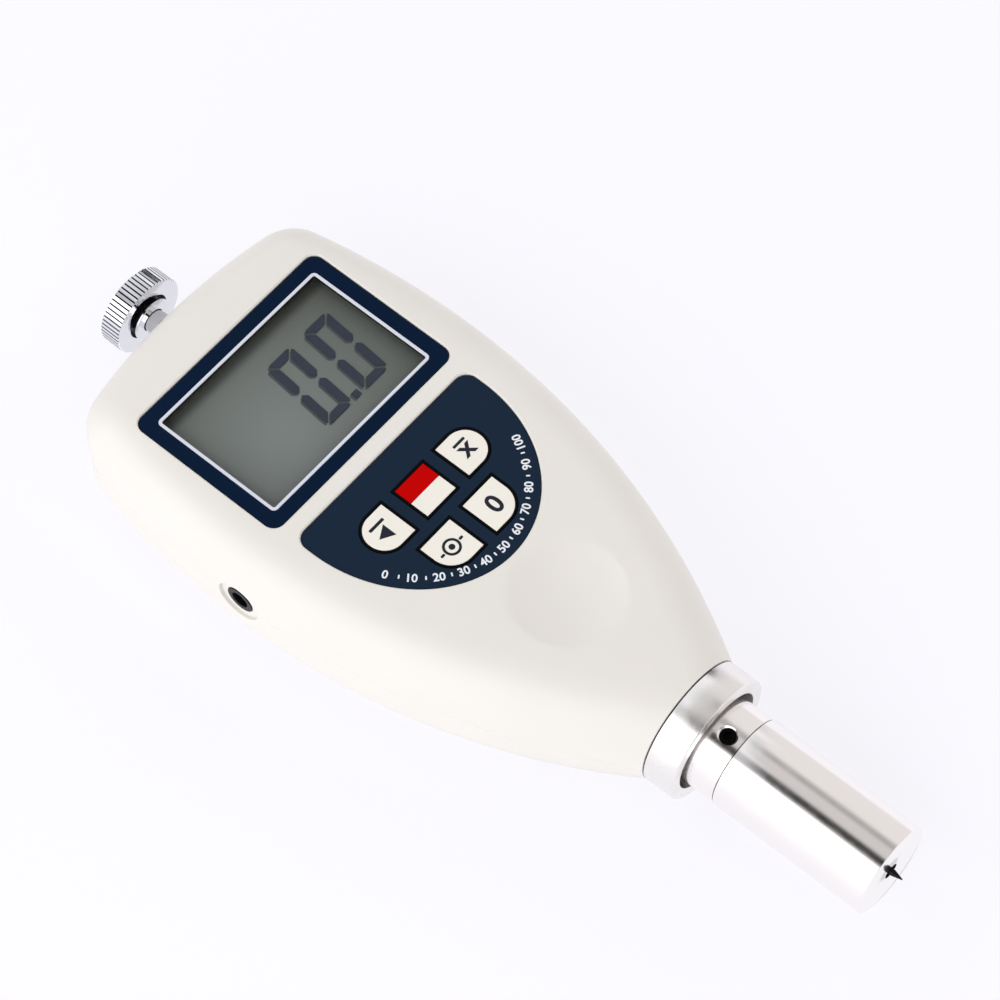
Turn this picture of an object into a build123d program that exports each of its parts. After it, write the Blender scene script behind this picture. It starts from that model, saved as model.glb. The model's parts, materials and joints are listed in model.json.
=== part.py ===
from build123d import *
import os
from math import cos, pi, radians, sin, sqrt, tan

os.makedirs("parts", exist_ok=True)

# Digital durometer, lying on its back: X across, Y from the needle to the thumb screw, Z up.
# Millimetres. The origin is under the middle of the whole object.

# Lengths that follow each other along the barrel axis
needle_reach = 2.5
foot_length = 31.9
ring_showing = 6.2
collar_length = 6.1
gasket_thickness = 0.3
body_length = 122.0
knob_gap = 6.4
knob_height = 4.4

# Body shell
body_width = 67.0
body_depth = 28.0
wall = 2.6
nose_wall = 4.0
widest_from_end = 42.5
edge_radius = 8.0
depth_fade = 4
edge_fade = 3
corner_radius = 9.3
arch_radius = 120.0
section_count = 9
nose_flat = 0.15
dish_from_nose = 27.5
dish_radius = 10.0
dish_depth = 1.0

# Fits
fit_gap = 0.05
panel_gap = 0.12
key_gap = 0.1
cut_margin = 1.0

# Barrel and nose
barrel_radius = 9.0
foot_wall = 5.0
foot_hole_radius = 1.5
foot_chamfer = 0.4
seam_chamfer = 0.15
tube_radius = 6.5
tube_bore_radius = 4.6
tube_front_gap = 3.0
tube_length = 54.0
ring_step = 0.2
collar_radius = 12.6
collar_mouth_radius = 10.1
collar_mouth_depth = 3.2
collar_step_radius = 9.5
collar_step_depth = 1.2
spigot_radius = 8.6
flange_radius = 9.8
flange_thickness = 3.0
gasket_inset = 0.35
nut_across_corners = 18.4
nut_thickness = 4.0
set_screw_radius = 1.5
set_screw_length = 1.9
set_screw_from_seam = 3.0
set_screw_tilt = 10.0
set_screw_point_gap = 0.15
countersink_radius = 1.9
hex_key_width = 1.5
hex_key_depth = 1.2

# Needle, spindle and spring
plunger_travel = 2.5
needle_radius = 0.625
needle_tip_radius = 0.1
needle_angle = 30.0
needle_grip = 4.0
collet_gap = 1.4
collet_radius = 3.8
collet_length = 6.0
collet_overlap = 2.0
spindle_radius = 2.5
bush_length = 6.0
stop_gap = 0.7
shoulder_radius = 4.2
shoulder_length = 2.0
spring_length = 22.0
spring_radius = 3.5
wire_radius = 0.45
spring_turns = 8
arcs_per_turn = 4
adjuster_length = 4.0
adjuster_slot = 1.0
adjuster_bore_gap = 0.4
lock_length = 2.4
rear_bush_inset = 1.0

# Displacement sensor behind the guide tube
sensor_gap = 1.2
spindle_end_gap = 4.0
bobbin_length = 22.0
bobbin_bore_radius = 2.1
bobbin_wall = 1.1
bobbin_flange_radius = 4.4
bobbin_flange = 1.2
winding_inset = 0.3
shield_wall = 0.4
core_radius = 1.6
core_length = 20.0
clamp_length = 12.0
clamp_from_sensor = 5.0
clamp_wall = 1.2
clamp_half_width = 11.6
clamp_ear = 1.6
clamp_screw_radius = 1.0
clamp_screw_head_radius = 1.9
clamp_screw_head = 1.3
clamp_screw_length = 6.5

# Front panels, and the display under one of them
panel_recess = 0.4
panel_thickness = 1.0
bezel_from_end = 13.8
bezel_margin = 9.5
bezel_height = 34.0
bezel_corner = 2.3
bezel_side_rim = 2.95
bezel_end_rim = 2.8
trim_line = 0.75
trim_corner = 0.9
window_thickness = 0.7
window_rim = 1.3
window_ledge = 1.2
lcd_side_lap = 0.95
lcd_end_lap = 1.3
lcd_thickness = 2.0
lcd_depth = 0.2
holder_wall = 1.6
zebra_width = 2.2
zebra_inset = 1.0
digit_width = 6.5
digit_height = 16.6
digit_stroke = 1.75
digit_gap = 0.3
digit_corner = 0.9
digit_pitch = 9.75
digit_lean = 0.085
digit_thickness = 0.12
digits_left = -0.65
digits_below = 8.8
point_size = 1.5

# Keypad
keypad_half_width = 22.8
keypad_from_bezel = 3.6
keypad_straight = 4.1
keypad_drop = 26.8
keypad_corner = 2.6
keypad_ledge = 2.5
key_shift = -0.42
key_rim = 0.5
key_cap_depth = 0.8
key_flange = 0.55
key_flange_drop = 0.2
key_flange_depth = 1.0
key_travel = 0.5
power_key_width = 7.55
power_key_height = 7.7
power_band_height = 3.8
upper_key_width = 7.55
upper_key_height = 8.0
upper_key_offset = 11.0
upper_key_from_top = 10.75
upper_key_round = 3.9
lower_key_width = 7.9
lower_key_height = 7.9
lower_key_offset = 5.68
lower_key_from_top = 21.85
lower_key_round = 4.6

# Circuit board
board_thickness = 1.6
board_to_lcd = 1.2
board_from_end = 13.0
board_length = 66.5
board_margin = 6.1
board_foot_margin = 7.2
board_taper_length = 21.0
board_top_taper = 4.5
post_radius = 1.6
post_sink = 0.4
top_post_from_side = 1.9
top_post_from_end = 6.0
low_post_from_side = 2.5
low_post_from_start = 3.0
board_screw_radius = 1.0
board_screw_head_radius = 1.8
board_screw_head = 1.3
board_screw_length = 4.6
switch_size = 4.6
switch_height = 1.6
switch_button_radius = 1.2
switch_button_gap = 0.2
chip_height = 1.5
large_chip = 12.0
middle_chip = 8.0
small_chip = 5.0
chip_spacing = 15.0
chips_from_start = 27.5

# Screws that join the two halves
case_screw_radius = 1.25
case_screw_hole_gap = 0.25
case_screw_head_radius = 2.5
case_screw_head = 1.6
case_screw_slot = 0.5
case_screw_length = 17.0
case_screw_seat = 4.0
case_post_radius = 3.5
nose_screw_x = 13.6
nose_screw_from_nose = 19.5
top_screw_x = 16.0
top_screw_from_end = 9.0
head_clearance = 0.3

# Battery bay and its sliding cover
cell_radius = 5.25
cell_length = 44.5
cell_tip_radius = 1.9
cell_tip_length = 0.8
cell_count = 4
cell_gap = 0.1
contact_thickness = 0.4
contact_width = 8.0
bay_rib = 1.4
bay_from_end = 16.5
bay_side_height = 9.0
bay_roof_half_width = 18.5
cover_side_lap = 0.75
cover_thickness = 1.6
cover_overlap = 2.0
cover_tongue = 1.2
cover_tongue_thickness = 0.8
cover_setback = 3.6
grip_count = 5
grip_pitch = 2.2
grip_width = 18.0
grip_groove = 0.9
grip_depth = 0.5
grip_from_end = 13.0

# Jack on the left side, plug on the right side
jack_from_end = 46.5
jack_recess = 0.6
jack_recess_radius = 4.5
jack_nose_radius = 2.9
jack_bore_radius = 1.75
jack_nose_proud = 0.2
jack_seat_thickness = 2.7
jack_seat_radius = 6.2
jack_body_radius = 3.6
jack_back_wall = 1.0
plug_from_end = 26.5
plug_head_radius = 3.0
plug_shank_radius = 2.2
plug_proud = 0.75
plug_seat = 0.6
plug_edge = 0.45

# Thumb screw and its threaded insert
insert_radius = 4.2
insert_flange_radius = 5.4
insert_flange = 1.4
insert_length = 12.4
insert_set_in = 0.3
insert_boss_half = 6.2
screw_radius = 2.45
screw_reach = 11.0
screw_in_knob = 3.4
knob_radius = 8.1
knob_chamfer = 0.12
knurl_count = 56
knurl_size = 0.4
knob_dish_radius = 5.0
knob_boss_radius = 3.4
knob_dish_depth = 1.3
knob_cap_radius = 5.2
knob_cap_depth = 0.4
washer_radius = 3.4
washer_thickness = 1.2

# Places along the barrel axis, counted from the face of the presser foot
collar_start = foot_length + ring_showing
collar_end = collar_start + collar_length
body_start = collar_end + gasket_thickness
body_end = body_start + body_length
knob_start = body_end + knob_gap
knob_end = knob_start + knob_height
widest = body_end - widest_from_end
middle = (knob_end - needle_reach) / 2

# Sizes that follow from others
bezel_width = body_width - 2 * bezel_margin
trim_width = bezel_width - 2 * bezel_side_rim
trim_height = bezel_height - 2 * bezel_end_rim
trim_inner_width = trim_width - 2 * trim_line
trim_inner_height = trim_height - 2 * trim_line
window_width = trim_inner_width + 2 * window_rim + 2 * window_ledge
window_height = trim_inner_height + 2 * window_rim + 2 * window_ledge
lcd_width = trim_width + 2 * lcd_side_lap
lcd_height = trim_height + 2 * lcd_end_lap
bay_length = cell_length + cell_tip_length + 2 * contact_thickness + 4 * fit_gap
bay_width = 2 * cell_count * cell_radius + (cell_count + 1) * cell_gap
cover_half_width = bay_width / 2 + cover_side_lap

# Heights
axis_z = body_depth / 2
panel_top = body_depth - panel_recess
panel_floor = panel_top - panel_thickness
window_floor = panel_floor - window_thickness
inner_front = body_depth - wall
lcd_top = inner_front - lcd_depth
board_top = lcd_top - lcd_thickness - board_to_lcd
board_bottom = board_top - board_thickness
cover_top = cover_thickness + fit_gap

upward = (Align.CENTER, Align.CENTER, Align.MIN)
downward = (Align.CENTER, Align.CENTER, Align.MAX)


def along(station):
    """Y of a place counted from the face of the presser foot."""
    return station - middle


def across(station):
    """Plane square to the barrel axis, facing the knob."""
    return Plane(origin=(0, along(station), axis_z), x_dir=(1, 0, 0), z_dir=(0, 1, 0))


def level(height):
    """Horizontal plane at a height."""
    return Plane.XY.offset(height)


def finish(piece, name):
    """Label a finished piece and write it."""
    piece.part.label = name
    export_step(piece.part, f"parts/{name}.step")


# Body shape: each side is one arc from the collar, past the widest place, to the top corner
widest_length = widest - body_start
side_drop = body_width / 2 - collar_radius
side_radius = (widest_length**2 + side_drop**2) / (2 * side_drop)
side_centre = body_width / 2 - side_radius


def half_width(station):
    """Half of the body's width at a place along it."""
    return side_centre + sqrt(side_radius**2 - (station - widest) ** 2)


def fade(station, power):
    """One at the nose, falling smoothly to zero at the widest place."""
    return (1 - (station - body_start) / widest_length) ** power


def half_depth(station):
    """Half of the body's depth, which grows from the round nose."""
    return axis_z - (axis_z - collar_radius) * fade(station, depth_fade)


def edge_round(station):
    """Radius of the body's long edges, which open into the round nose."""
    return edge_radius + (collar_radius - edge_radius) * fade(station, edge_fade)


def lower_body(first_station, inset):
    """The body from the nose to its widest place, moved in all round by an inset."""
    with BuildPart() as lower:
        for index in range(section_count):
            station = first_station + (widest - first_station) * index / (section_count - 1)
            across_half = half_width(station) - inset
            deep_half = half_depth(station) - inset
            smallest_half = min(across_half, deep_half)
            corner = min(edge_round(station) - inset, smallest_half - nose_flat)
            with BuildSketch(across(station)):
                RectangleRounded(2 * across_half, 2 * deep_half, corner)
        loft()
    return lower.part


def upper_body(inset):
    """The body from its widest place to the arched top end, moved in all round by an inset."""
    with BuildPart() as upper:
        with BuildSketch(level(inset)) as plan:
            with Locations((side_centre, along(widest))):
                Circle(side_radius - inset)
            with Locations((-side_centre, along(widest))):
                Circle(side_radius - inset, mode=Mode.INTERSECT)
            with Locations((0, along(body_end) - arch_radius)):
                Circle(arch_radius - inset, mode=Mode.INTERSECT)
            with Locations((0, along(widest))):
                above = (Align.CENTER, Align.MIN)
                Rectangle(2 * body_width, body_length, align=above, mode=Mode.INTERSECT)
            fillet(plan.vertices().sort_by(Axis.Y)[-2:], corner_radius - inset)
        extrude(amount=body_depth - 2 * inset)
        rims = []
        for face in upper.faces().filter_by(Axis.Z):
            rims += face.edges().sort_by(Axis.Y)[1:]
        fillet(rims, edge_radius - inset)
    return upper.part


with BuildPart() as body_block:
    add(lower_body(body_start, 0))
    add(upper_body(0))

# Seats that both halves of the case share
jack_station = body_end - jack_from_end
jack_floor = half_width(jack_station) - jack_recess
jack_seat = Plane(origin=(-jack_floor, along(jack_station), axis_z), x_dir=(0, 1, 0), z_dir=(-1, 0, 0))
plug_station = body_end - plug_from_end
plug_floor = half_width(plug_station) - plug_seat
plug_plane = Plane(origin=(plug_floor, along(plug_station), axis_z), x_dir=(0, 1, 0), z_dir=(1, 0, 0))
insert_end = body_end - insert_set_in
insert_start = insert_end - insert_length
boss_start = insert_start + insert_flange

case_screw_places = []
for side in (-1, 1):
    case_screw_places.append((side * nose_screw_x, along(body_start + nose_screw_from_nose)))
    case_screw_places.append((side * top_screw_x, along(body_end - top_screw_from_end)))

with BuildPart() as shell:
    add(body_block.part)
    add(lower_body(body_start + nose_wall, wall), mode=Mode.SUBTRACT)
    add(upper_body(wall), mode=Mode.SUBTRACT)
    with BuildSketch(level(wall - post_sink)):
        with Locations(*case_screw_places):
            Circle(case_post_radius)
    extrude(amount=inner_front - wall + 2 * post_sink)
    with Locations((0, along(boss_start), axis_z)):
        boss_length = body_end - wall / 2 - boss_start
        boss_align = (Align.CENTER, Align.MIN, Align.CENTER)
        Box(2 * insert_boss_half, boss_length, 2 * insert_boss_half, align=boss_align)
    with Locations(jack_seat):
        Cylinder(jack_seat_radius, jack_seat_thickness, align=downward)
        Cylinder(jack_recess_radius, body_width, align=upward, mode=Mode.SUBTRACT)
        Cylinder(jack_nose_radius + fit_gap, 2 * jack_seat_thickness, mode=Mode.SUBTRACT)
    with Locations(plug_plane):
        Cylinder(plug_head_radius + fit_gap, body_width, align=upward, mode=Mode.SUBTRACT)
        Cylinder(plug_shank_radius + fit_gap, 4 * wall, mode=Mode.SUBTRACT)
    with Locations(across(body_start)):
        Cylinder(spigot_radius + fit_gap, 2 * nose_wall, mode=Mode.SUBTRACT)
    with Locations(across(insert_start)):
        Cylinder(insert_radius + fit_gap, body_length, align=upward, mode=Mode.SUBTRACT)

# Outlines of the front panels
display_y = along(body_end - bezel_from_end - bezel_height / 2)
keypad_top = display_y - bezel_height / 2 - keypad_from_bezel
keypad_middle = keypad_top - keypad_straight


def keypad_outline(grow):
    """Straight top edge over a half ellipse, grown all round."""
    half = keypad_half_width + grow
    half_turn = 180
    with BuildSketch() as outline:
        with BuildLine():
            drop = keypad_drop + grow
            EllipticalCenterArc((0, keypad_middle), half, drop, start_angle=half_turn, arc_size=half_turn)
            Polyline(
                (half, keypad_middle),
                (half, keypad_top + grow),
                (-half, keypad_top + grow),
                (-half, keypad_middle),
            )
        make_face()
        fillet(outline.vertices().sort_by(Axis.Y)[-2:], keypad_corner + grow)
    return outline.sketch


# Each key: name, centre, size, side that is rounded, whether only its lower corner is, radius
upper_key_y = keypad_top - upper_key_from_top
lower_key_y = keypad_top - lower_key_from_top
keys = [("power_key", 0, upper_key_y, power_key_width, power_key_height, 0, False, 0)]
for name, side in (("max_key", -1), ("average_key", 1)):
    place = (side * upper_key_offset, upper_key_y)
    keys.append((name, *place, upper_key_width, upper_key_height, side, False, upper_key_round))
for name, side in (("calibrate_key", -1), ("zero_key", 1)):
    place = (side * lower_key_offset, lower_key_y)
    keys.append((name, *place, lower_key_width, lower_key_height, side, True, lower_key_round))


def key_outline(key, grow):
    """Outline of one key, grown all round."""
    name, x, y, width, height, side, lower_only, radius = key
    with BuildSketch() as outline:
        with Locations((x + key_shift, y)):
            Rectangle(width + 2 * grow, height + 2 * grow)
        if side:
            rounded = outline.vertices().group_by(Axis.X)[-1 if side > 0 else 0]
            if lower_only:
                rounded = rounded.sort_by(Axis.Y)[:1]
            fillet(rounded, radius + grow)
    return outline.sketch


# Circuit board's outline, and the posts of the front half that it is screwed to
board_end_station = body_end - board_from_end
board_start_station = board_end_station - board_length
board_start = along(board_start_station)
board_end = along(board_end_station)
board_half_width = body_width / 2 - board_margin
board_foot_half_width = half_width(board_start_station) - board_foot_margin
top_post_x = board_half_width - top_post_from_side
low_post_x = board_foot_half_width - low_post_from_side
board_posts = []
for side in (-1, 1):
    board_posts.append((side * top_post_x, board_end - top_post_from_end))
    board_posts.append((side * low_post_x, board_start + low_post_from_start))

dish_sphere_radius = (dish_radius**2 + dish_depth**2) / (2 * dish_depth)
case_screw_tip = case_screw_seat + case_screw_length

with BuildPart() as front_case:
    add(shell.part)
    split(bisect_by=level(axis_z), keep=Keep.TOP)
    with BuildSketch(level(board_top)):
        with Locations(*board_posts):
            Circle(post_radius)
    extrude(amount=inner_front + post_sink - board_top)
    with BuildSketch(level(board_top)):
        with Locations(*board_posts):
            Circle(board_screw_radius + fit_gap)
    extrude(amount=board_screw_length - board_thickness + fit_gap, mode=Mode.SUBTRACT)
    with BuildSketch(level(axis_z)):
        with Locations(*case_screw_places):
            Circle(case_screw_radius + fit_gap)
    extrude(amount=case_screw_tip - axis_z + fit_gap, mode=Mode.SUBTRACT)
    with BuildSketch(level(panel_floor)):
        with Locations((0, display_y)):
            pocket_width = bezel_width + 2 * panel_gap
            RectangleRounded(pocket_width, bezel_height + 2 * panel_gap, bezel_corner + panel_gap)
        add(keypad_outline(panel_gap))
    extrude(amount=body_depth, mode=Mode.SUBTRACT)
    with BuildSketch(level(window_floor)):
        with Locations((0, display_y)):
            Rectangle(window_width + 2 * panel_gap, window_height + 2 * panel_gap)
    extrude(amount=body_depth, mode=Mode.SUBTRACT)
    with BuildSketch(level(axis_z)):
        with Locations((0, display_y)):
            Rectangle(window_width - 2 * window_ledge, window_height - 2 * window_ledge)
        add(keypad_outline(-keypad_ledge))
    extrude(amount=body_depth, mode=Mode.SUBTRACT)
    with Locations((0, along(body_start + dish_from_nose), body_depth - dish_depth + dish_sphere_radius)):
        Sphere(dish_sphere_radius, rotation=(90, 0, 0), mode=Mode.SUBTRACT)
finish(front_case, "front_case")

# Battery bay: four cells side by side between contacts
bay_end = body_end - bay_from_end
bay_middle = along(bay_end - bay_length / 2)
cell_z = wall + head_clearance + cell_radius
bay_roof = cell_z + cell_radius + cell_gap
cover_start = bay_end - bay_length - cover_overlap

# Displacement sensor, clamped on a cradle in the rear half
tube_start = foot_wall + tube_front_gap
tube_end = tube_start + tube_length
spindle_end = tube_end + spindle_end_gap
sensor_start = spindle_end + plunger_travel + sensor_gap
shield_radius = bobbin_flange_radius + fit_gap + shield_wall
clamp_middle = along(sensor_start + clamp_from_sensor + clamp_length / 2)
clamp_screw_x = (shield_radius + clamp_wall + clamp_half_width) / 2
clamp_screw_places = [(-clamp_screw_x, clamp_middle), (clamp_screw_x, clamp_middle)]


def cover_plan(half, first_station, setback):
    """Plan of the battery cover: straight sides and a far end that follows the arched top."""
    with BuildSketch() as plan:
        with Locations((0, along(first_station))):
            Rectangle(2 * half, body_length, align=(Align.CENTER, Align.MIN))
        with Locations((0, along(body_end) - arch_radius)):
            Circle(arch_radius - setback, mode=Mode.INTERSECT)
    return plan.sketch


tongue_half = cover_half_width + cover_tongue
tongue_bottom = cover_thickness - cover_tongue_thickness

with BuildPart() as rear_case:
    add(shell.part)
    split(bisect_by=level(axis_z), keep=Keep.BOTTOM)
    with Locations((0, bay_middle, cover_top)):
        bay_block_height = bay_roof + bay_rib - cover_top
        Box(bay_width + 2 * bay_rib, bay_length + 2 * bay_rib, bay_block_height, align=upward)
    with Locations((0, bay_middle, -cut_margin)):
        Box(bay_width, bay_length, bay_roof + cut_margin, align=upward, mode=Mode.SUBTRACT)
    with Locations((0, bay_middle, bay_side_height)):
        roof_step = bay_width / 2 + bay_rib - bay_roof_half_width
        with GridLocations(2 * bay_roof_half_width + roof_step, 1, 2, 1):
            Box(roof_step, bay_length, body_depth, align=upward, mode=Mode.SUBTRACT)
    with Locations((0, clamp_middle, wall / 2)):
        Box(2 * clamp_half_width, clamp_length, axis_z - wall / 2, align=upward)
    with Locations(across(sensor_start)):
        Cylinder(shield_radius + fit_gap, bobbin_length, align=upward, mode=Mode.SUBTRACT)
    with BuildSketch(level(axis_z)):
        with Locations(*clamp_screw_places):
            Circle(clamp_screw_radius + fit_gap)
    extrude(amount=-(clamp_screw_length - clamp_ear + fit_gap), mode=Mode.SUBTRACT)
    with BuildSketch(level(-cut_margin)):
        with Locations(*case_screw_places):
            Circle(case_screw_radius + case_screw_hole_gap)
    extrude(amount=axis_z + cut_margin, mode=Mode.SUBTRACT)
    with BuildSketch(level(-cut_margin)):
        with Locations(*case_screw_places):
            Circle(case_screw_head_radius + head_clearance)
    extrude(amount=case_screw_seat + cut_margin, mode=Mode.SUBTRACT)
    with BuildSketch(level(-cut_margin)):
        add(cover_plan(cover_half_width + panel_gap, cover_start - panel_gap, -body_depth))
    extrude(amount=cover_top + cut_margin, mode=Mode.SUBTRACT)
    with BuildSketch(level(tongue_bottom - fit_gap)):
        add(cover_plan(tongue_half + panel_gap, cover_start - panel_gap, -body_depth))
    extrude(amount=cover_tongue_thickness + 2 * fit_gap, mode=Mode.SUBTRACT)
finish(rear_case, "rear_case")

with BuildPart() as battery_cover:
    with BuildSketch(level(0)):
        add(cover_plan(cover_half_width, cover_start, cover_setback))
    extrude(amount=cover_thickness)
    with BuildSketch(level(tongue_bottom)):
        add(cover_plan(tongue_half, cover_start, cover_setback))
    extrude(amount=cover_tongue_thickness)
    add(body_block.part, mode=Mode.INTERSECT)
    with Locations((0, along(body_end - grip_from_end), 0)):
        with GridLocations(1, grip_pitch, 1, grip_count):
            Box(grip_width, grip_groove, grip_depth, align=upward, mode=Mode.SUBTRACT)
finish(battery_cover, "battery_cover")

with BuildPart() as case_screws:
    with BuildSketch(level(case_screw_seat)):
        with Locations(*case_screw_places):
            Circle(case_screw_head_radius)
    extrude(amount=-case_screw_head)
    with BuildSketch(level(case_screw_seat)):
        with Locations(*case_screw_places):
            Circle(case_screw_radius)
    extrude(amount=case_screw_length)
    with BuildSketch(level(case_screw_seat - case_screw_head)):
        with Locations(*case_screw_places):
            Rectangle(2 * case_screw_radius, case_screw_slot)
            Rectangle(case_screw_slot, 2 * case_screw_radius)
    extrude(amount=case_screw_head / 2, mode=Mode.SUBTRACT)
finish(case_screws, "case_screws")

# Display: dark bezel, silver line, clear window, then the glass with its reading
with BuildPart() as display_bezel:
    with BuildSketch(level(panel_floor)):
        with Locations((0, display_y)):
            RectangleRounded(bezel_width, bezel_height, bezel_corner)
            RectangleRounded(trim_width, trim_height, trim_corner, mode=Mode.SUBTRACT)
    extrude(amount=panel_thickness)
finish(display_bezel, "display_bezel")

with BuildPart() as display_trim:
    with BuildSketch(level(panel_floor)):
        with Locations((0, display_y)):
            RectangleRounded(trim_width - 2 * fit_gap, trim_height - 2 * fit_gap, trim_corner - fit_gap)
            Rectangle(trim_inner_width, trim_inner_height, mode=Mode.SUBTRACT)
    extrude(amount=panel_thickness)
finish(display_trim, "display_trim")

with BuildPart() as display_window:
    with Locations((0, display_y, window_floor)):
        Box(window_width, window_height, window_thickness, align=upward)
finish(display_window, "display_window")

with BuildPart() as lcd_glass:
    with Locations((0, display_y, lcd_top)):
        Box(lcd_width, lcd_height, lcd_thickness, align=downward)
finish(lcd_glass, "lcd_glass")


def leaning(x, y):
    """A point of a digit, moved aside by the digit's lean."""
    return (x + digit_lean * y, y)


def nought_segments(left, bottom):
    """Outlines of the six lit segments of a nought: mitred bars, with its outer corners cut off."""
    bars = []
    far = (digit_corner + digit_gap) / 2
    close = (digit_corner - digit_gap) / 2
    for base, inward in ((0, 1), (digit_height, -1)):
        near = base + inward * digit_stroke
        bars.append(
            (
                (far, base + inward * close),
                (digit_corner, base),
                (digit_width - digit_corner, base),
                (digit_width - far, base + inward * close),
                (digit_width - digit_stroke - digit_gap, near),
                (digit_stroke + digit_gap, near),
            )
        )
    for edge, inward in ((0, 1), (digit_width, -1)):
        near = edge + inward * digit_stroke
        tip = edge + inward * digit_stroke / 2
        for base, upright in ((0, 1), (digit_height, -1)):
            half = digit_height / 2 - digit_gap
            bars.append(
                (
                    (edge + inward * close, base + upright * far),
                    (edge, base + upright * digit_corner),
                    (edge, base + upright * (half - digit_stroke / 2)),
                    (tip, base + upright * half),
                    (near, base + upright * (half - digit_stroke / 2)),
                    (near, base + upright * (digit_stroke + digit_gap)),
                )
            )
    return [[(left + leaning(x, y)[0], bottom + y) for x, y in bar] for bar in bars]


with BuildPart() as lcd_segments:
    with BuildSketch(level(lcd_top)):
        for place in range(2):
            corner = (digits_left + place * digit_pitch, display_y - digits_below)
            for bar in nought_segments(*corner):
                with BuildLine():
                    Polyline(*bar, close=True)
                make_face()
        point_x = digits_left + (digit_pitch + digit_width) / 2
        with Locations((point_x, display_y - digits_below)):
            Rectangle(point_size, point_size, align=(Align.CENTER, Align.MIN))
    extrude(amount=digit_thickness)
finish(lcd_segments, "lcd_segments")

with BuildPart() as lcd_holder:
    with Locations((0, display_y, board_top)):
        holder_height = inner_front - fit_gap - board_top
        Box(lcd_width + 2 * holder_wall, lcd_height + 2 * holder_wall, holder_height, align=upward)
        hole_height = 2 * holder_height
        Box(lcd_width + 2 * fit_gap, lcd_height + 2 * fit_gap, hole_height, mode=Mode.SUBTRACT)
finish(lcd_holder, "lcd_holder")

with BuildPart() as zebra_strips:
    with Locations((0, display_y, board_top)):
        with GridLocations(1, lcd_height - zebra_width - 2 * zebra_inset, 1, 2):
            Box(lcd_width - 2 * zebra_inset, zebra_width, board_to_lcd, align=upward)
finish(zebra_strips, "zebra_strips")

# Keypad: a dark panel, and keys that are pale caps set in black frames
with BuildPart() as keypad_panel:
    with BuildSketch(level(panel_floor)):
        add(keypad_outline(0))
        for key in keys:
            add(key_outline(key, key_rim + key_gap), mode=Mode.SUBTRACT)
    extrude(amount=panel_thickness)
finish(keypad_panel, "keypad_panel")

cap_floor = panel_top - key_cap_depth
flange_top = panel_floor - key_flange_drop
flange_bottom = flange_top - key_flange_depth
power_split = upper_key_y + power_key_height / 2 - power_band_height

for key in keys:
    name = key[0]
    with BuildPart() as key_frame:
        with BuildSketch(level(flange_bottom)):
            add(key_outline(key, key_rim + key_flange))
        extrude(amount=key_flange_depth)
        with BuildSketch(level(flange_top)):
            add(key_outline(key, key_rim))
        extrude(amount=panel_top - flange_top)
        with BuildSketch(level(cap_floor)):
            add(key_outline(key, 0))
        extrude(amount=key_cap_depth, mode=Mode.SUBTRACT)
    finish(key_frame, name + "_frame")

    with BuildPart() as key_cap:
        with BuildSketch(level(cap_floor)):
            add(key_outline(key, 0))
        extrude(amount=key_cap_depth)
        if name == "power_key":
            split(bisect_by=Plane.XZ.offset(-power_split), keep=Keep.TOP)
    finish(key_cap, name)

with BuildPart() as power_key_band:
    with BuildSketch(level(cap_floor)):
        add(key_outline(keys[0], 0))
    extrude(amount=key_cap_depth)
    split(bisect_by=Plane.XZ.offset(-power_split), keep=Keep.BOTTOM)
finish(power_key_band, "power_key_band")

# Circuit board and what it carries
key_places = [(key[1] + key_shift, key[2]) for key in keys]

with BuildPart() as main_board:
    with BuildSketch(level(board_bottom)):
        with BuildLine():
            Polyline(
                (0, board_start),
                (board_foot_half_width, board_start),
                (board_half_width, board_start + board_taper_length),
                (board_half_width, board_end - board_top_taper),
                (board_half_width - board_top_taper, board_end),
                (0, board_end),
            )
            mirror(about=Plane.YZ)
        make_face()
        with Locations(*board_posts):
            Circle(board_screw_radius + 2 * fit_gap, mode=Mode.SUBTRACT)
    extrude(amount=board_thickness)
finish(main_board, "main_board")

with BuildPart() as board_screws:
    with BuildSketch(level(board_bottom)):
        with Locations(*board_posts):
            Circle(board_screw_head_radius)
    extrude(amount=-board_screw_head)
    with BuildSketch(level(board_bottom)):
        with Locations(*board_posts):
            Circle(board_screw_radius)
    extrude(amount=board_screw_length)
finish(board_screws, "board_screws")

switch_top = flange_bottom - key_travel - switch_button_gap

with BuildPart() as tact_switches:
    with BuildSketch(level(board_top)):
        with Locations(*key_places):
            Rectangle(switch_size, switch_size)
    extrude(amount=switch_height)
    with BuildSketch(level(board_top + switch_height)):
        with Locations(*key_places):
            Circle(switch_button_radius)
    extrude(amount=switch_top - board_top - switch_height)
finish(tact_switches, "tact_switches")

with BuildPart() as board_chips:
    for x, size in ((-chip_spacing, large_chip), (0, middle_chip), (chip_spacing, small_chip)):
        with Locations((x, board_start + chips_from_start, board_bottom)):
            Box(size, size, chip_height, align=downward)
finish(board_chips, "board_chips")

# Batteries
cell_pitch = 2 * cell_radius + cell_gap
cell_row = [(index - (cell_count - 1) / 2) * cell_pitch for index in range(cell_count)]

with BuildPart() as battery_cells:
    for index, x in enumerate(cell_row):
        turned = 1 if index % 2 else -1
        base_y = bay_middle - turned * (bay_length / 2 - contact_thickness - fit_gap)
        cell_plane = Plane(origin=(x, base_y, cell_z), x_dir=(1, 0, 0), z_dir=(0, turned, 0))
        with Locations(cell_plane):
            Cylinder(cell_radius, cell_length, align=upward)
            Cylinder(cell_tip_radius, cell_length + cell_tip_length, align=upward)
finish(battery_cells, "battery_cells")

with BuildPart() as battery_contacts:
    for x in cell_row:
        with Locations((x, bay_middle, cell_z)):
            with GridLocations(1, bay_length - contact_thickness, 1, 2):
                Box(contact_width, contact_thickness, contact_width)
finish(battery_contacts, "battery_contacts")

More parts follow.
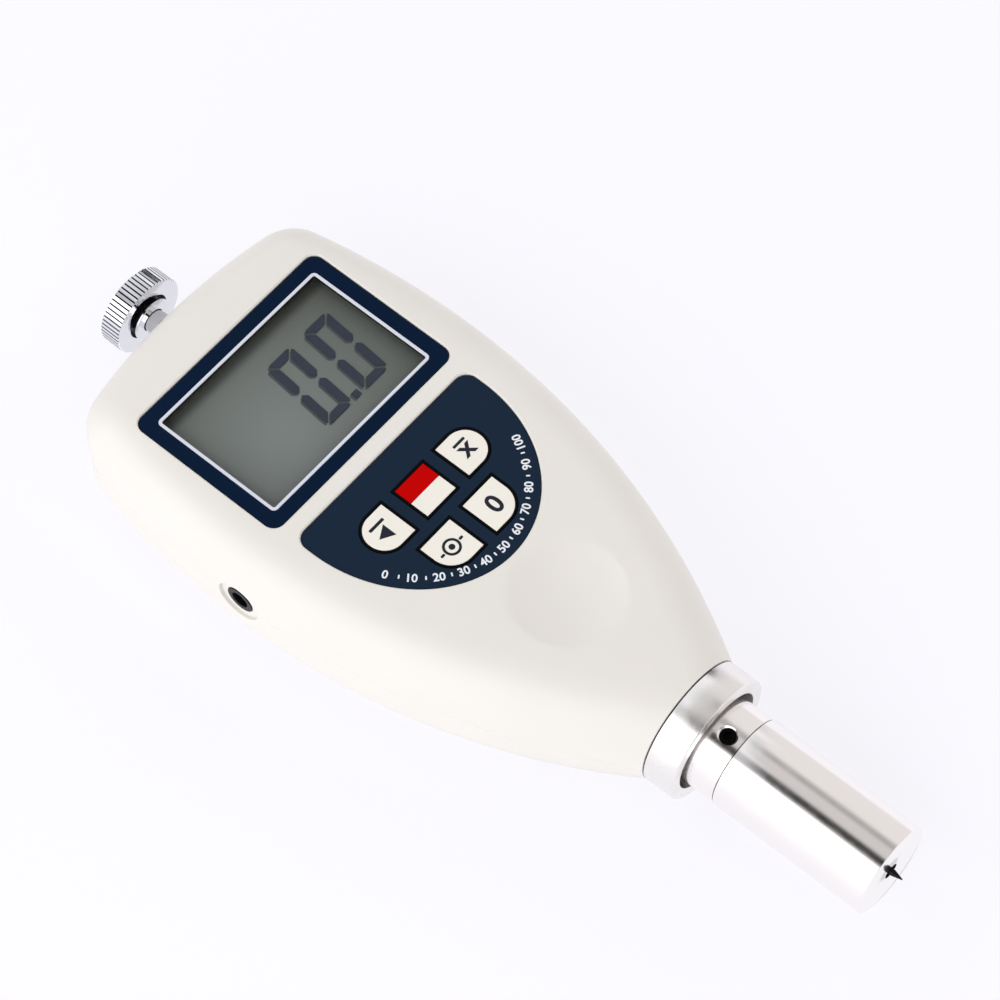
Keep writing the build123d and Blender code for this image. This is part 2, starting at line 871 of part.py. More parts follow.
# Jack and side plug
with BuildPart(jack_seat) as jack_socket:
    with Locations((0, 0, jack_nose_proud)):
        Cylinder(jack_nose_radius, jack_nose_proud + jack_seat_thickness, align=downward)
    with Locations((0, 0, -jack_seat_thickness)):
        jack_body_length = jack_floor - jack_seat_thickness - bay_width / 2
        Cylinder(jack_body_radius, jack_body_length, align=downward)
    bore_length = jack_nose_proud + jack_seat_thickness + jack_body_length - jack_back_wall
    with Locations((0, 0, jack_nose_proud)):
        Cylinder(jack_bore_radius, bore_length, align=downward, mode=Mode.SUBTRACT)
finish(jack_socket, "jack_socket")

with BuildPart(plug_plane) as side_plug:
    Cylinder(plug_head_radius, plug_seat + plug_proud, align=upward)
    fillet(side_plug.edges().filter_by(GeomType.CIRCLE).sort_by(Axis.X)[-1], plug_edge)
    Cylinder(plug_shank_radius, wall, align=downward)
finish(side_plug, "side_plug")

# Nose: collar on the body, ring and presser foot on the guide tube
ring_end = collar_start + collar_mouth_depth + collar_step_depth
spigot_end = body_start + nose_wall
flange_start = spigot_end + fit_gap
flange_end = flange_start + flange_thickness

with BuildPart(across(collar_start)) as nose_collar:
    Cylinder(collar_radius, collar_length, align=upward)
    chamfer(nose_collar.edges().filter_by(GeomType.CIRCLE).sort_by(Axis.Y)[0], foot_chamfer)
    Cylinder(spigot_radius, flange_end - collar_start, align=upward)
    with Locations((0, 0, flange_start - collar_start)):
        Cylinder(flange_radius, flange_thickness, align=upward)
    Cylinder(collar_mouth_radius, collar_mouth_depth, align=upward, mode=Mode.SUBTRACT)
    Cylinder(collar_step_radius, ring_end - collar_start, align=upward, mode=Mode.SUBTRACT)
    Cylinder(tube_radius + fit_gap, body_length, mode=Mode.SUBTRACT)
finish(nose_collar, "nose_collar")

with BuildPart(across(collar_end)) as nose_gasket:
    Cylinder(collar_radius - gasket_inset, gasket_thickness, align=upward)
    Cylinder(spigot_radius + fit_gap, body_length, mode=Mode.SUBTRACT)
finish(nose_gasket, "nose_gasket")

with BuildPart(across(flange_end)) as tube_nut:
    with BuildSketch(across(flange_end)):
        RegularPolygon(nut_across_corners / 2, 6)
        Circle(tube_radius + fit_gap, mode=Mode.SUBTRACT)
    extrude(amount=nut_thickness)
finish(tube_nut, "tube_nut")

with BuildPart(across(0)) as presser_foot:
    Cylinder(barrel_radius, foot_length, align=upward)
    ends = presser_foot.edges().filter_by(GeomType.CIRCLE).sort_by(Axis.Y)
    chamfer(ends[0], foot_chamfer)
    chamfer(ends[-1], seam_chamfer)
    Cylinder(foot_hole_radius, foot_length, align=upward, mode=Mode.SUBTRACT)
    with Locations((0, 0, foot_wall)):
        Cylinder(tube_radius + fit_gap, foot_length, align=upward, mode=Mode.SUBTRACT)
finish(presser_foot, "presser_foot")

set_screw_y = along(foot_length + set_screw_from_seam)
set_screw_lean = radians(set_screw_tilt)
set_screw_plane = Plane(
    origin=(0, set_screw_y, axis_z),
    x_dir=(0, 1, 0),
    z_dir=(-sin(set_screw_lean), 0, cos(set_screw_lean)),
)
sink_depth = countersink_radius - set_screw_radius

with BuildPart(across(foot_length)) as lock_ring:
    Cylinder(barrel_radius - ring_step, ring_end - foot_length, align=upward)
    chamfer(lock_ring.edges().filter_by(GeomType.CIRCLE).sort_by(Axis.Y)[0], seam_chamfer)
    Cylinder(tube_radius + fit_gap, body_length, mode=Mode.SUBTRACT)
    with BuildSketch(set_screw_plane):
        Circle(set_screw_radius + fit_gap)
    extrude(amount=body_depth, mode=Mode.SUBTRACT)
    with BuildSketch(set_screw_plane.offset(barrel_radius - ring_step - sink_depth)):
        Circle(set_screw_radius + fit_gap)
    extrude(amount=2 * sink_depth, taper=-45, mode=Mode.SUBTRACT)
finish(lock_ring, "lock_ring")

set_screw_base = set_screw_plane.offset(tube_radius + set_screw_point_gap)

with BuildPart(set_screw_base) as set_screw:
    Cylinder(set_screw_radius, set_screw_length, align=upward)
    with BuildSketch(set_screw_base.offset(set_screw_length)):
        RegularPolygon(hex_key_width / 2, 6, major_radius=False)
    extrude(amount=-hex_key_depth, mode=Mode.SUBTRACT)
finish(set_screw, "set_screw")

with BuildPart(across(tube_start)) as guide_tube:
    Cylinder(tube_radius, tube_length, align=upward)
    Cylinder(tube_bore_radius, tube_length, align=upward, mode=Mode.SUBTRACT)
finish(guide_tube, "guide_tube")

# Plunger: needle, collet and spindle, which rests with its shoulder on the front bush
collet_start = foot_wall + collet_gap
collet_end = collet_start + collet_length
spindle_start = collet_end - collet_overlap
front_bush_start = collet_end + plunger_travel + stop_gap
shoulder_start = front_bush_start + bush_length
spring_start = shoulder_start + shoulder_length
spring_end = spring_start + spring_length
needle_cone = (needle_radius - needle_tip_radius) / tan(radians(needle_angle / 2))

with BuildPart(across(-needle_reach)) as indenter:
    Cone(needle_tip_radius, needle_radius, needle_cone, align=upward)
    with Locations((0, 0, needle_cone)):
        shank_length = spindle_start + needle_grip + needle_reach - needle_cone
        Cylinder(needle_radius, shank_length, align=upward)
finish(indenter, "indenter")

with BuildPart(across(collet_start)) as indenter_collet:
    Cylinder(collet_radius, collet_length, align=upward)
    Cylinder(needle_radius + fit_gap, collet_length, align=upward, mode=Mode.SUBTRACT)
    with Locations((0, 0, collet_length - collet_overlap)):
        Cylinder(spindle_radius + fit_gap, collet_length, align=upward, mode=Mode.SUBTRACT)
finish(indenter_collet, "indenter_collet")

with BuildPart(across(spindle_start)) as spindle:
    Cylinder(spindle_radius, spindle_end - spindle_start, align=upward)
    with Locations((0, 0, shoulder_start - spindle_start)):
        Cylinder(shoulder_radius, shoulder_length, align=upward)
    Cylinder(needle_radius + fit_gap, needle_grip + fit_gap, align=upward, mode=Mode.SUBTRACT)
finish(spindle, "spindle")

with BuildPart(across(spindle_end)) as sensor_core:
    Cylinder(core_radius, core_length, align=upward)
finish(sensor_core, "sensor_core")

rear_bush_start = tube_end - rear_bush_inset - bush_length
for name, station in (("front_bush", front_bush_start), ("rear_bush", rear_bush_start)):
    with BuildPart(across(station)) as bush:
        Cylinder(tube_bore_radius - fit_gap, bush_length, align=upward)
        Cylinder(spindle_radius + fit_gap, bush_length, align=upward, mode=Mode.SUBTRACT)
    finish(bush, name)

with BuildPart(across(spring_end)) as spring_adjuster:
    Cylinder(tube_bore_radius - fit_gap, adjuster_length, align=upward)
    Cylinder(spindle_radius + adjuster_bore_gap, adjuster_length, align=upward, mode=Mode.SUBTRACT)
    with Locations((0, 0, adjuster_length)):
        Box(2 * tube_radius, adjuster_slot, adjuster_slot, align=downward, mode=Mode.SUBTRACT)
finish(spring_adjuster, "spring_adjuster")

with BuildPart(across(spring_end + adjuster_length)) as adjuster_lock_ring:
    Cylinder(tube_bore_radius - fit_gap, lock_length, align=upward)
    Cylinder(spindle_radius + adjuster_bore_gap, lock_length, align=upward, mode=Mode.SUBTRACT)
finish(adjuster_lock_ring, "adjuster_lock_ring")

# Main spring: one wire on quarter turns, each joined smoothly by two arcs
coil_rise = spring_length - 2 * wire_radius - 2 * fit_gap
coil_base = along(spring_start) + wire_radius + fit_gap
helix_length = sqrt((2 * pi * spring_radius * spring_turns) ** 2 + coil_rise**2)


def coil_point(turn):
    """A point on the wire's centre line, after a number of turns."""
    angle = 2 * pi * turn
    height = coil_base + coil_rise * turn / spring_turns
    return Vector(spring_radius * cos(angle), height, axis_z + spring_radius * sin(angle))


def coil_direction(turn):
    """Direction of the wire there."""
    angle = 2 * pi * turn
    round_share = 2 * pi * spring_radius * spring_turns / helix_length
    rise_share = coil_rise / helix_length
    return Vector(-round_share * sin(angle), rise_share, round_share * cos(angle))


with BuildPart() as main_spring:
    with BuildLine() as wire_path:
        for index in range(spring_turns * arcs_per_turn):
            first = index / arcs_per_turn
            last = (index + 1) / arcs_per_turn
            start, leave = coil_point(first), coil_direction(first)
            stop, arrive = coil_point(last), coil_direction(last)
            chord = stop - start
            lean = chord.dot(leave + arrive)
            open_share = 2 * (1 - leave.dot(arrive))
            reach = (sqrt(lean**2 + open_share * chord.dot(chord)) - lean) / open_share
            join = (start + stop + (leave - arrive) * reach) * 0.5
            through = ((stop - arrive * reach) - (start + leave * reach)).normalized()
            TangentArc(start, join, tangent=leave)
            TangentArc(join, stop, tangent=through)
    with BuildSketch(Plane(origin=coil_point(0), z_dir=coil_direction(0))):
        Circle(wire_radius)
    sweep()
finish(main_spring, "main_spring")

steps_per_turn = 24
samples = [coil_point(step / steps_per_turn) for step in range(steps_per_turn * spring_turns + 1)]
coil_gaps = []
for index, point in enumerate(samples):
    for other in samples[index + steps_per_turn // 2 :]:
        coil_gaps.append((point - other).length - 2 * wire_radius)
print("main spring: least gap between turns", round(min(coil_gaps), 3), "mm")
print("main spring: wire volume", round(main_spring.part.volume / (pi * wire_radius**2 * helix_length), 4))

# Displacement sensor
bobbin_radius = bobbin_bore_radius + bobbin_wall

with BuildPart(across(sensor_start)) as coil_bobbin:
    Cylinder(bobbin_radius, bobbin_length, align=upward)
    Cylinder(bobbin_flange_radius, bobbin_flange, align=upward)
    with Locations((0, 0, bobbin_length)):
        Cylinder(bobbin_flange_radius, bobbin_flange, align=downward)
    Cylinder(bobbin_bore_radius, bobbin_length, align=upward, mode=Mode.SUBTRACT)
finish(coil_bobbin, "coil_bobbin")

with BuildPart(across(sensor_start + bobbin_flange)) as coil_winding:
    winding_length = bobbin_length - 2 * bobbin_flange
    Cylinder(bobbin_flange_radius - winding_inset, winding_length, align=upward)
    Cylinder(bobbin_radius + fit_gap, winding_length, align=upward, mode=Mode.SUBTRACT)
finish(coil_winding, "coil_winding")

with BuildPart(across(sensor_start)) as sensor_shield:
    Cylinder(shield_radius, bobbin_length, align=upward)
    Cylinder(shield_radius - shield_wall, bobbin_length, align=upward, mode=Mode.SUBTRACT)
finish(sensor_shield, "sensor_shield")

with BuildPart() as sensor_clamp:
    strap_radius = shield_radius + clamp_wall
    with Locations(across(sensor_start + clamp_from_sensor)):
        Cylinder(strap_radius, clamp_length, align=upward)
    with Locations((0, clamp_middle, axis_z)):
        Box(2 * clamp_half_width, clamp_length, clamp_ear, align=upward)
    split(bisect_by=level(axis_z), keep=Keep.TOP)
    with Locations(across(sensor_start)):
        Cylinder(shield_radius + fit_gap, body_length, mode=Mode.SUBTRACT)
    with BuildSketch(level(axis_z)):
        with Locations(*clamp_screw_places):
            Circle(clamp_screw_radius + 2 * fit_gap)
    extrude(amount=clamp_ear, mode=Mode.SUBTRACT)
finish(sensor_clamp, "sensor_clamp")

with BuildPart() as clamp_screws:
    with BuildSketch(level(axis_z + clamp_ear)):
        with Locations(*clamp_screw_places):
            Circle(clamp_screw_head_radius)
    extrude(amount=clamp_screw_head)
    with BuildSketch(level(axis_z + clamp_ear)):
        with Locations(*clamp_screw_places):
            Circle(clamp_screw_radius)
    extrude(amount=-clamp_screw_length)
finish(clamp_screws, "clamp_screws")

# Thumb screw at the top end
with BuildPart(across(insert_start)) as top_insert:
    Cylinder(insert_radius, insert_length, align=upward)
    Cylinder(insert_flange_radius, insert_flange, align=upward)
    Cylinder(screw_radius + fit_gap, insert_length, align=upward, mode=Mode.SUBTRACT)
finish(top_insert, "top_insert")

with BuildPart(across(body_end - screw_reach)) as thumb_shaft:
    shaft_length = screw_reach + knob_gap + screw_in_knob
    Cylinder(screw_radius, shaft_length, align=upward)
finish(thumb_shaft, "thumb_shaft")

with BuildPart(across(knob_start - washer_thickness)) as thumb_washer:
    Cylinder(washer_radius, washer_thickness, align=upward)
    Cylinder(screw_radius + fit_gap, washer_thickness, align=upward, mode=Mode.SUBTRACT)
finish(thumb_washer, "thumb_washer")

with BuildPart(across(knob_start)) as thumb_knob:
    Cylinder(knob_radius, knob_height, align=upward)
    chamfer(thumb_knob.edges().filter_by(GeomType.CIRCLE), knob_chamfer)
    with BuildSketch(across(knob_start)):
        with PolarLocations(knob_radius, knurl_count):
            Rectangle(knurl_size, knurl_size, rotation=45)
    extrude(amount=knob_height, mode=Mode.SUBTRACT)
    with BuildSketch(across(knob_start)):
        Circle(knob_dish_radius)
        Circle(knob_boss_radius, mode=Mode.SUBTRACT)
    extrude(amount=knob_dish_depth, mode=Mode.SUBTRACT)
    Cylinder(screw_radius + fit_gap, screw_in_knob + fit_gap, align=upward, mode=Mode.SUBTRACT)
    with Locations((0, 0, knob_height)):
        Cylinder(knob_cap_radius, knob_cap_depth, align=downward, mode=Mode.SUBTRACT)
finish(thumb_knob, "thumb_knob")
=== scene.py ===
# %% [markdown]
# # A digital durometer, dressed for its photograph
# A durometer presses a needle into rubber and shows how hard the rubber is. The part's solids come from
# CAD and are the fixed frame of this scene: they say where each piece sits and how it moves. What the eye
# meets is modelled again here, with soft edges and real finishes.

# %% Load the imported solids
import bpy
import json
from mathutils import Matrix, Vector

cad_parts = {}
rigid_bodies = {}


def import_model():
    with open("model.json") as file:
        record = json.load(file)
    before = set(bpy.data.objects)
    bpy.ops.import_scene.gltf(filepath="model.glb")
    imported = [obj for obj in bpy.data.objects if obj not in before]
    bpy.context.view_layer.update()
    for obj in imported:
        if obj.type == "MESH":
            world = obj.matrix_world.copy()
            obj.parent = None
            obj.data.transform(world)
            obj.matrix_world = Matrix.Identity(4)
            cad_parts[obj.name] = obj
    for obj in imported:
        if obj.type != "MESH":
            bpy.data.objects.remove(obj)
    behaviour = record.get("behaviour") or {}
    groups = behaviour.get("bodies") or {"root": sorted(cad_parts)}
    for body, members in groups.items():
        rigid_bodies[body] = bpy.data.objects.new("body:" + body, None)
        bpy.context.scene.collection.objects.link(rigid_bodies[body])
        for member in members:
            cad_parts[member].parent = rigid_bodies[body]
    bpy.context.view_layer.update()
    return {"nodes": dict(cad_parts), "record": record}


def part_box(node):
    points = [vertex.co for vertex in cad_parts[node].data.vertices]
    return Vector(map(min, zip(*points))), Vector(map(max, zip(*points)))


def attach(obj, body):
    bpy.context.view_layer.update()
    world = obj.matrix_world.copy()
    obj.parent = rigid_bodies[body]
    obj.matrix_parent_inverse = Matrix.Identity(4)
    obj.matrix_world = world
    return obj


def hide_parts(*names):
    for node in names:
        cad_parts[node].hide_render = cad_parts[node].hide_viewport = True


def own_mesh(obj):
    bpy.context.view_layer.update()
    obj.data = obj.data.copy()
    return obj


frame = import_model()

# %% [markdown]
# ## Working in millimetres
# The instrument is small, so every shape below is drawn in millimetres and scaled to metres when it
# becomes an object. A bmesh is Blender's editable mesh: the same extrude, spin and bevel as in the
# window, called by name.

# %% Imports, and a ruler on the solids
import json
from math import atan2, cos, hypot, pi, radians, sin, sqrt

import bmesh
import bpy
from mathutils import Matrix, Vector

MM = 0.001


def box(node):
    """The lower and upper corner of a CAD solid, in millimetres."""
    low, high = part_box(node)
    return low / MM, high / MM


def middle(node):
    """The centre of a CAD solid, in millimetres."""
    low, high = box(node)
    return (low + high) / 2


axis_z = middle("presser_foot").z
nose_y, end_y = box("rear_case")[0].y, box("rear_case")[1].y
front_z, half_wide = box("front_case")[1].z, box("front_case")[1].x
panel_top, panel_floor = box("display_bezel")[1].z, box("display_bezel")[0].z
print("case", round(2 * half_wide, 2), "by", round(end_y - nose_y, 2), "by", round(front_z, 2), "mm")

# %% [markdown]
# ## Materials from nodes
# One function reads a colour as it is written for screens, and one adds any kind of shader node with its
# values and links. A material then starts with a single Principled shader and takes only what its surface
# needs.

# %% Colour, node and material
def colour(code):
    """A screen colour such as #ffffff as the linear colour that shaders take."""
    parts = [int(code[i : i + 2], 16) / 255 for i in (1, 3, 5)]
    return [*(p / 12.92 if p <= 0.04045 else ((p + 0.055) / 1.055) ** 2.4 for p in parts), 1]


def feed(tree, node, inputs):
    """Set a node's inputs; what is another node's output is linked."""
    for name, value in inputs.items():
        if isinstance(value, bpy.types.NodeSocket):
            tree.links.new(value, node.inputs[name])
        else:
            node.inputs[name].default_value = value


def add(tree, kind, inputs=None, **settings):
    """Add a shader node with its settings and inputs."""
    node = tree.nodes.new("ShaderNode" + kind)
    for name, value in settings.items():
        setattr(node, name, value)
    feed(tree, node, inputs or {})
    return node


def material(name, inputs):
    """A material with one Principled shader, its tree and the shader."""
    made = bpy.data.materials.new(name)
    made.use_nodes = True
    made.node_tree.nodes.clear()
    shader = add(made.node_tree, "BsdfPrincipled", inputs)
    add(made.node_tree, "OutputMaterial", {"Surface": shader.outputs["BSDF"]})
    return made, made.node_tree, shader


# %% [markdown]
# Four nodes come back in nearly every surface: a noise for whatever is uneven, a mix of two tones, a
# range that says how much a value counts, and a bump that makes relief of a pattern.

# %% Noise, mix, range and bump
def noise(tree, place, size, detail):
    """A cloudy pattern; size is about the width of a cloud, in mm."""
    inputs = {"Vector": place, "Scale": 1 / (size * MM), "Detail": detail}
    return add(tree, "TexNoise", inputs).outputs["Fac"]


def mix(tree, share, first, second):
    """A colour between two others; at a share of 1 it is the second."""
    inputs = {"Factor": share, "A": first, "B": second}
    return add(tree, "Mix", inputs, data_type="RGBA").outputs["Result"]


def ranged(tree, value, start, end, low=0.0, high=1.0, **settings):
    """A value carried from the range start to end over to the range low to high."""
    ends = {"From Min": start, "From Max": end, "To Min": low, "To Max": high}
    return add(tree, "MapRange", {"Value": value, **ends}, **settings).outputs["Result"]


def bump(tree, height, depth, strength):
    """The tilt that a pattern gives to a surface; depth is in mm."""
    inputs = {"Height": height, "Distance": depth * MM, "Strength": strength}
    return add(tree, "Bump", inputs).outputs["Normal"]


# %% [markdown]
# ## Moulded plastics
# The case is injection-moulded ABS in a warm white. A steel mould leaves it satin, with a grain far finer
# than a millimetre, so highlights stay broad and soft, and the tone drifts a little where the melt
# flowed. The other plastics differ in their pigments.

# %% Plastics
def moulded(name, code, deeper, roughness, grain=0.35, depth=0.004, shine=0.5):
    """Plastic with a moulded grain, as a bump in mm, and a drift to a deeper tone."""
    made, tree, shader = material(name, {"IOR": 1.52, "Specular IOR Level": shine})
    place = add(tree, "TexCoord").outputs["Object"]
    drift = noise(tree, place, size=14, detail=1.0)
    inputs = {
        "Base Color": mix(tree, drift, colour(code), colour(deeper)),
        "Roughness": ranged(tree, drift, 0.0, 1.0, roughness - 0.04, roughness + 0.04),
        "Normal": bump(tree, noise(tree, place, grain, detail=2.0), depth, strength=0.6),
    }
    feed(tree, shader, inputs)
    return made


finishes = {}
# Satin, slightly creamy white: broad soft highlights, the warm tone of ABS.
finishes["warm_white_plastic"] = moulded("abs_moulded_warm_white", "#e6e3de", "#e2dfd9", 0.42)
# Black socket body: a dull black that still shows its rim.
finishes["black_plastic"] = moulded("abs_moulded_black", "#0d0d0f", "#08080a", 0.4, shine=0.2)
# Inside parts in natural white nylon: duller, a little yellow.
finishes["white_inner_plastic"] = moulded("nylon_moulded_natural", "#e2ddcf", "#dad4c4", 0.55)
# Soft dark washer: almost no highlight.
finishes["dark_rubber"] = moulded("rubber_moulded_dark", "#1b1a1a", "#141313", 0.75, grain=0.5)
# Caps of the keys, a brighter white than the case.
finishes["key_pale"] = moulded("polycarbonate_key_white", "#f1eee5", "#ece8de", 0.4)
# The band of the power key: a full signal red.
finishes["key_red"] = moulded("polycarbonate_key_red", "#c40000", "#bb0001", 0.4, shine=0.03)
# The rim round each key: deep black, a little shine.
finishes["key_frame_black"] = moulded("polycarbonate_key_black", "#050506", "#030304", 0.4, shine=0.06)
# Keypad foil: dark blue with a fine matt grain.
finishes["dark_blue_panel"] = moulded(
    "polyester_foil_dark_blue_matt", "#19293c", "#172637", 0.5, 0.2, 0.006, shine=0.04
)
# Display surround: the blue is printed behind a smooth clear face, which makes it deeper.
bezel_blue = moulded("acrylic_printed_dark_blue", "#031a35", "#02172f", 0.12, 0.8, 0.0005, shine=0.1)
# Ink of the signs on the keys, and white ink of the scale.
ink_dark = moulded("ink_screen_printed_dark", "#1c2130", "#181c29", 0.5, shine=0.2)
ink_white = moulded("ink_screen_printed_white", "#e9edf2", "#dfe4ea", 0.5)
print("plastics and inks:", len(bpy.data.materials))

# %% [markdown]
# ## Metals
# The barrel is turned steel, polished along the lathe's turning so that its rings are too fine to see one
# by one but still stretch a reflection. The collar is turned aluminium with a cloudier skin, and the
# thumb screw is chromed brass, the brightest surface of all.

# %% Metals
def turned_metal(name, code, roughness, spread, pitch, depth, cloud=3.0, painted_shade_radius=None):
    """Metal off the lathe: rings about the barrel's axis, pitch apart, and clouds of duller metal, all in mm.

    Within a given radius of the axis the colour turns dark: painted shade inside a hole or mouth.
    """
    made, tree, shader = material(name, {"Base Color": colour(code), "Metallic": 1.0})
    place = add(tree, "TexCoord").outputs["Object"]
    # Painted shade: inside the given radius of the axis the base colour is mixed to a dark brown.
    if painted_shade_radius:
        unit = 1 / (2 * painted_shade_radius * MM)
        across = {"Location": (0, 0, -axis_z * MM * unit), "Scale": (unit, 0, unit)}
        flat = add(tree, "Mapping", {"Vector": place, **across})
        near = add(tree, "TexGradient", {"Vector": flat.outputs[0]}, gradient_type="SPHERICAL")
        inner = ranged(tree, near.outputs["Fac"], 0.5, 0.51)
        feed(tree, shader, {"Base Color": mix(tree, inner, colour(code), colour("#1d1411"))})
    stretched = {"Vector": place, "Scale": (20.0, 1 / (pitch * MM), 20.0)}
    rings = add(tree, "Mapping", stretched).outputs["Vector"]
    lines = noise(tree, rings, 1 / MM, detail=3.0)
    clouds = noise(tree, place, cloud, detail=3.0)
    inputs = {
        "Roughness": ranged(tree, clouds, 0.3, 0.7, roughness - spread, roughness + spread),
        "Normal": bump(tree, lines, depth, strength=0.5),
    }
    feed(tree, shader, inputs)
    return made


# Turned steel: light grey with a breath of pink, long clear reflections along the barrel.
finishes["satin_steel"] = turned_metal("steel_turned_satin", "#faf7f6", 0.17, 0.03, 0.15, 0.0006)
# The same steel, with painted shade that darkens the bore for the needle.
steel_painted_dark_bore = turned_metal("steel_turned_satin_painted_bore_shade", "#faf7f6", 0.17, 0.03, 0.15, 0.0006, painted_shade_radius=1.6)
# Turned aluminium: whiter and cloudier than the steel, with painted shade darkening the inside of its mouth.
finishes["satin_aluminium"] = turned_metal(
    "aluminium_turned_satin_painted_mouth_shade", "#f3f1ef", 0.29, 0.12, 0.2, 0.002, cloud=5.0, painted_shade_radius=10.2
)
# Chrome over brass: a mirror with hardly any haze.
finishes["bright_chrome"] = turned_metal("brass_chromed", "#e6e7ec", 0.07, 0.02, 0.3, 0.00004)
# The bottoms of the knurls and of the groove under the knob: dull, and dark as painted shade.
chrome_painted_groove_shade = turned_metal("brass_chromed_dull_painted_groove_shade", "#4d4f55", 0.4, 0.05, 0.3, 0.0005)
# Hardened needle: dark grey, finely ground.
finishes["hard_steel"] = turned_metal("steel_hardened_ground", "#232222", 0.3, 0.05, 0.1, 0.0005)
# Spring wire, drawn and oiled.
finishes["spring_steel"] = turned_metal("steel_spring_drawn", "#8f8e8c", 0.28, 0.05, 0.1, 0.0005)
# Zinc-plated screws: bluish, a little dull.
finishes["zinc_steel"] = turned_metal("steel_zinc_plated", "#d4d6da", 0.42, 0.08, 0.2, 0.0005)
# Blackened set screw: nearly black, oily sheen.
finishes["black_steel"] = turned_metal("steel_black_oxide", "#111112", 0.38, 0.06, 0.1, 0.0005)
# Bare brass bushes and nuts.
finishes["brass"] = turned_metal("brass_turned", "#b98f4a", 0.25, 0.06, 0.15, 0.0008)
# The same brass under nickel, for the insert at the end of the case.
nickel = turned_metal("brass_nickel_plated", "#cfccc6", 0.3, 0.06, 0.15, 0.0008)
# Enamelled copper winding: fine rings of wire.
finishes["copper_wire"] = turned_metal("copper_enamelled_wire", "#9a4a22", 0.3, 0.05, 0.2, 0.004)
# Soft iron shield and core of the sensor.
finishes["soft_iron"] = turned_metal("iron_annealed_soft", "#8b8784", 0.4, 0.08, 0.3, 0.001)
print("materials so far:", len(bpy.data.materials))

# %% [markdown]
# ## Display and inside finishes
# A reflective liquid crystal has no light of its own. It is a grey-green foil under glass. A lighter patch
# low and left of the middle is painted light, a darker band along the top is painted shadow of the frame,
# and the dark segments throw a faint shadow on the foil behind them. The line round it is silver only on
# its face: its inner wall is dark, which makes the display look deep.

# %% Display materials
def graded(name, near, far, vector, kind, inputs):
    """A material that goes from one colour to another, in a direction or from a point, as vector says."""
    made, tree, shader = material(name, inputs)
    place = add(tree, "TexCoord").outputs["Object"]
    moved = add(tree, "Mapping", {"Vector": place, **vector})
    blend = add(tree, "TexGradient", {"Vector": moved.outputs["Vector"]}, gradient_type=kind)
    feed(tree, shader, {"Base Color": mix(tree, blend.outputs["Fac"], colour(far), colour(near))})
    return made, tree, shader


# Reflective foil under glass: grey-green and silky. Painted light: a lighter ball about a point left of
# the middle and low. Painted shadow of the frame darkens the last two millimetres at the top.
painted_glow_radius = 34
painted_glow_centre = middle("lcd_glass") + Vector((-7, -4, 0))
finishes["lcd_grey_green"], tree, shader = graded(
    "lcd_reflective_grey_green_painted_light", "#858d8b", "#62665f",
    {"Location": [-c / painted_glow_radius for c in painted_glow_centre], "Scale": (1 / (painted_glow_radius * MM),) * 3},
    "SPHERICAL", {"Roughness": 0.4, "IOR": 1.5, "Specular IOR Level": 0.2},
)
# Painted shadow of the frame: over the last 2.4 mm below the top of the line, the colour darkens towards
# #262622.
top_y = (box("display_trim")[1].y - 0.9) * MM
height = add(tree, "SeparateXYZ", {"Vector": tree.nodes["Texture Coordinate"].outputs["Object"]})
rise = (height.outputs["Y"], top_y - 2.4 * MM, top_y, 0.0, 0.6)
shade = ranged(tree, *rise, interpolation_type="SMOOTHSTEP")
lit = shader.inputs["Base Color"].links[0].from_socket
feed(tree, shader, {"Base Color": mix(tree, shade, lit, colour("#262622"))})
# Lit segments: a dark slate blue, and a paler shadow of it on the foil.
finishes["lcd_dark"] = moulded("lcd_segment_dark", "#383e4c", "#343a48", 0.45, shine=0.2)
lcd_shade = moulded("lcd_segment_shadow", "#52575a", "#4e5357", 0.45, shine=0.2)
# Silver ink on the face of the line; a tenth of a millimetre lower it turns to the dark of the wall.
edge_z, fade = panel_top - 0.22, 0.1
finishes["silver_trim"], _, _ = graded(
    "ink_silver_printed", "#d6dae6", "#15110f",
    {"Location": (-edge_z / fade, 0, 0), "Rotation": (0, pi / 2, 0), "Scale": (1 / (fade * MM),) * 3},
    "LINEAR", {"Roughness": 0.35, "IOR": 1.5},
)
# Clear acrylic window: hardly seen but for its shine, so nearly all light passes it unbent.
glassy = {"Base Color": colour("#2a2e2d"), "Alpha": 0.06, "Roughness": 0.03, "IOR": 1.49}
finishes["clear_window"], _, _ = material("acrylic_cast_clear", glassy)
# Circuit board: green lacquer over glass cloth. Cell sleeve: shrink film in a deep blue.
finishes["board_green"] = moulded("glass_epoxy_green_lacquer", "#1d5a34", "#17492a", 0.3, 0.6, 0.01)
finishes["cell_sleeve"] = moulded("film_shrunk_sleeve", "#28446f", "#213a61", 0.25, 1.5, 0.01)
print("materials in all:", len(bpy.data.materials))

# %% [markdown]
# ## One finish for each slot
# The record gives every solid a material slot, and the finishes are kept by these names. So a solid that
# stays as it is, and a piece that stands for a solid, are dressed by the same rule.

# %% Dress every solid
slot_of = {row["node"]: row["material_slot"] for row in frame["record"]["subparts"]}
bodies = frame["record"]["behaviour"]["bodies"]
body_of = {node: body for body, nodes in bodies.items() for node in nodes}
for node, slot in slot_of.items():
    mesh = frame["nodes"][node].data
    mesh.materials.clear()
    mesh.materials.append(nickel if node == "top_insert" else finishes[slot])

# %% [markdown]
# ## From bmesh to piece
# Every piece takes the same last steps: doubles are merged, faces turned outwards, the size brought to
# metres, and edges split into soft and sharp by their angle. Then it is tied to the body that it moves
# with.

# %% Making a piece
def meshed(bm, name="passing"):
    """A mesh from a bmesh, which is used up."""
    mesh = bpy.data.meshes.new(name)
    bm.to_mesh(mesh)
    bm.free()
    return mesh


def put(name, data):
    """A new object in the scene."""
    made = bpy.data.objects.new(name, data)
    bpy.context.scene.collection.objects.link(made)
    return made


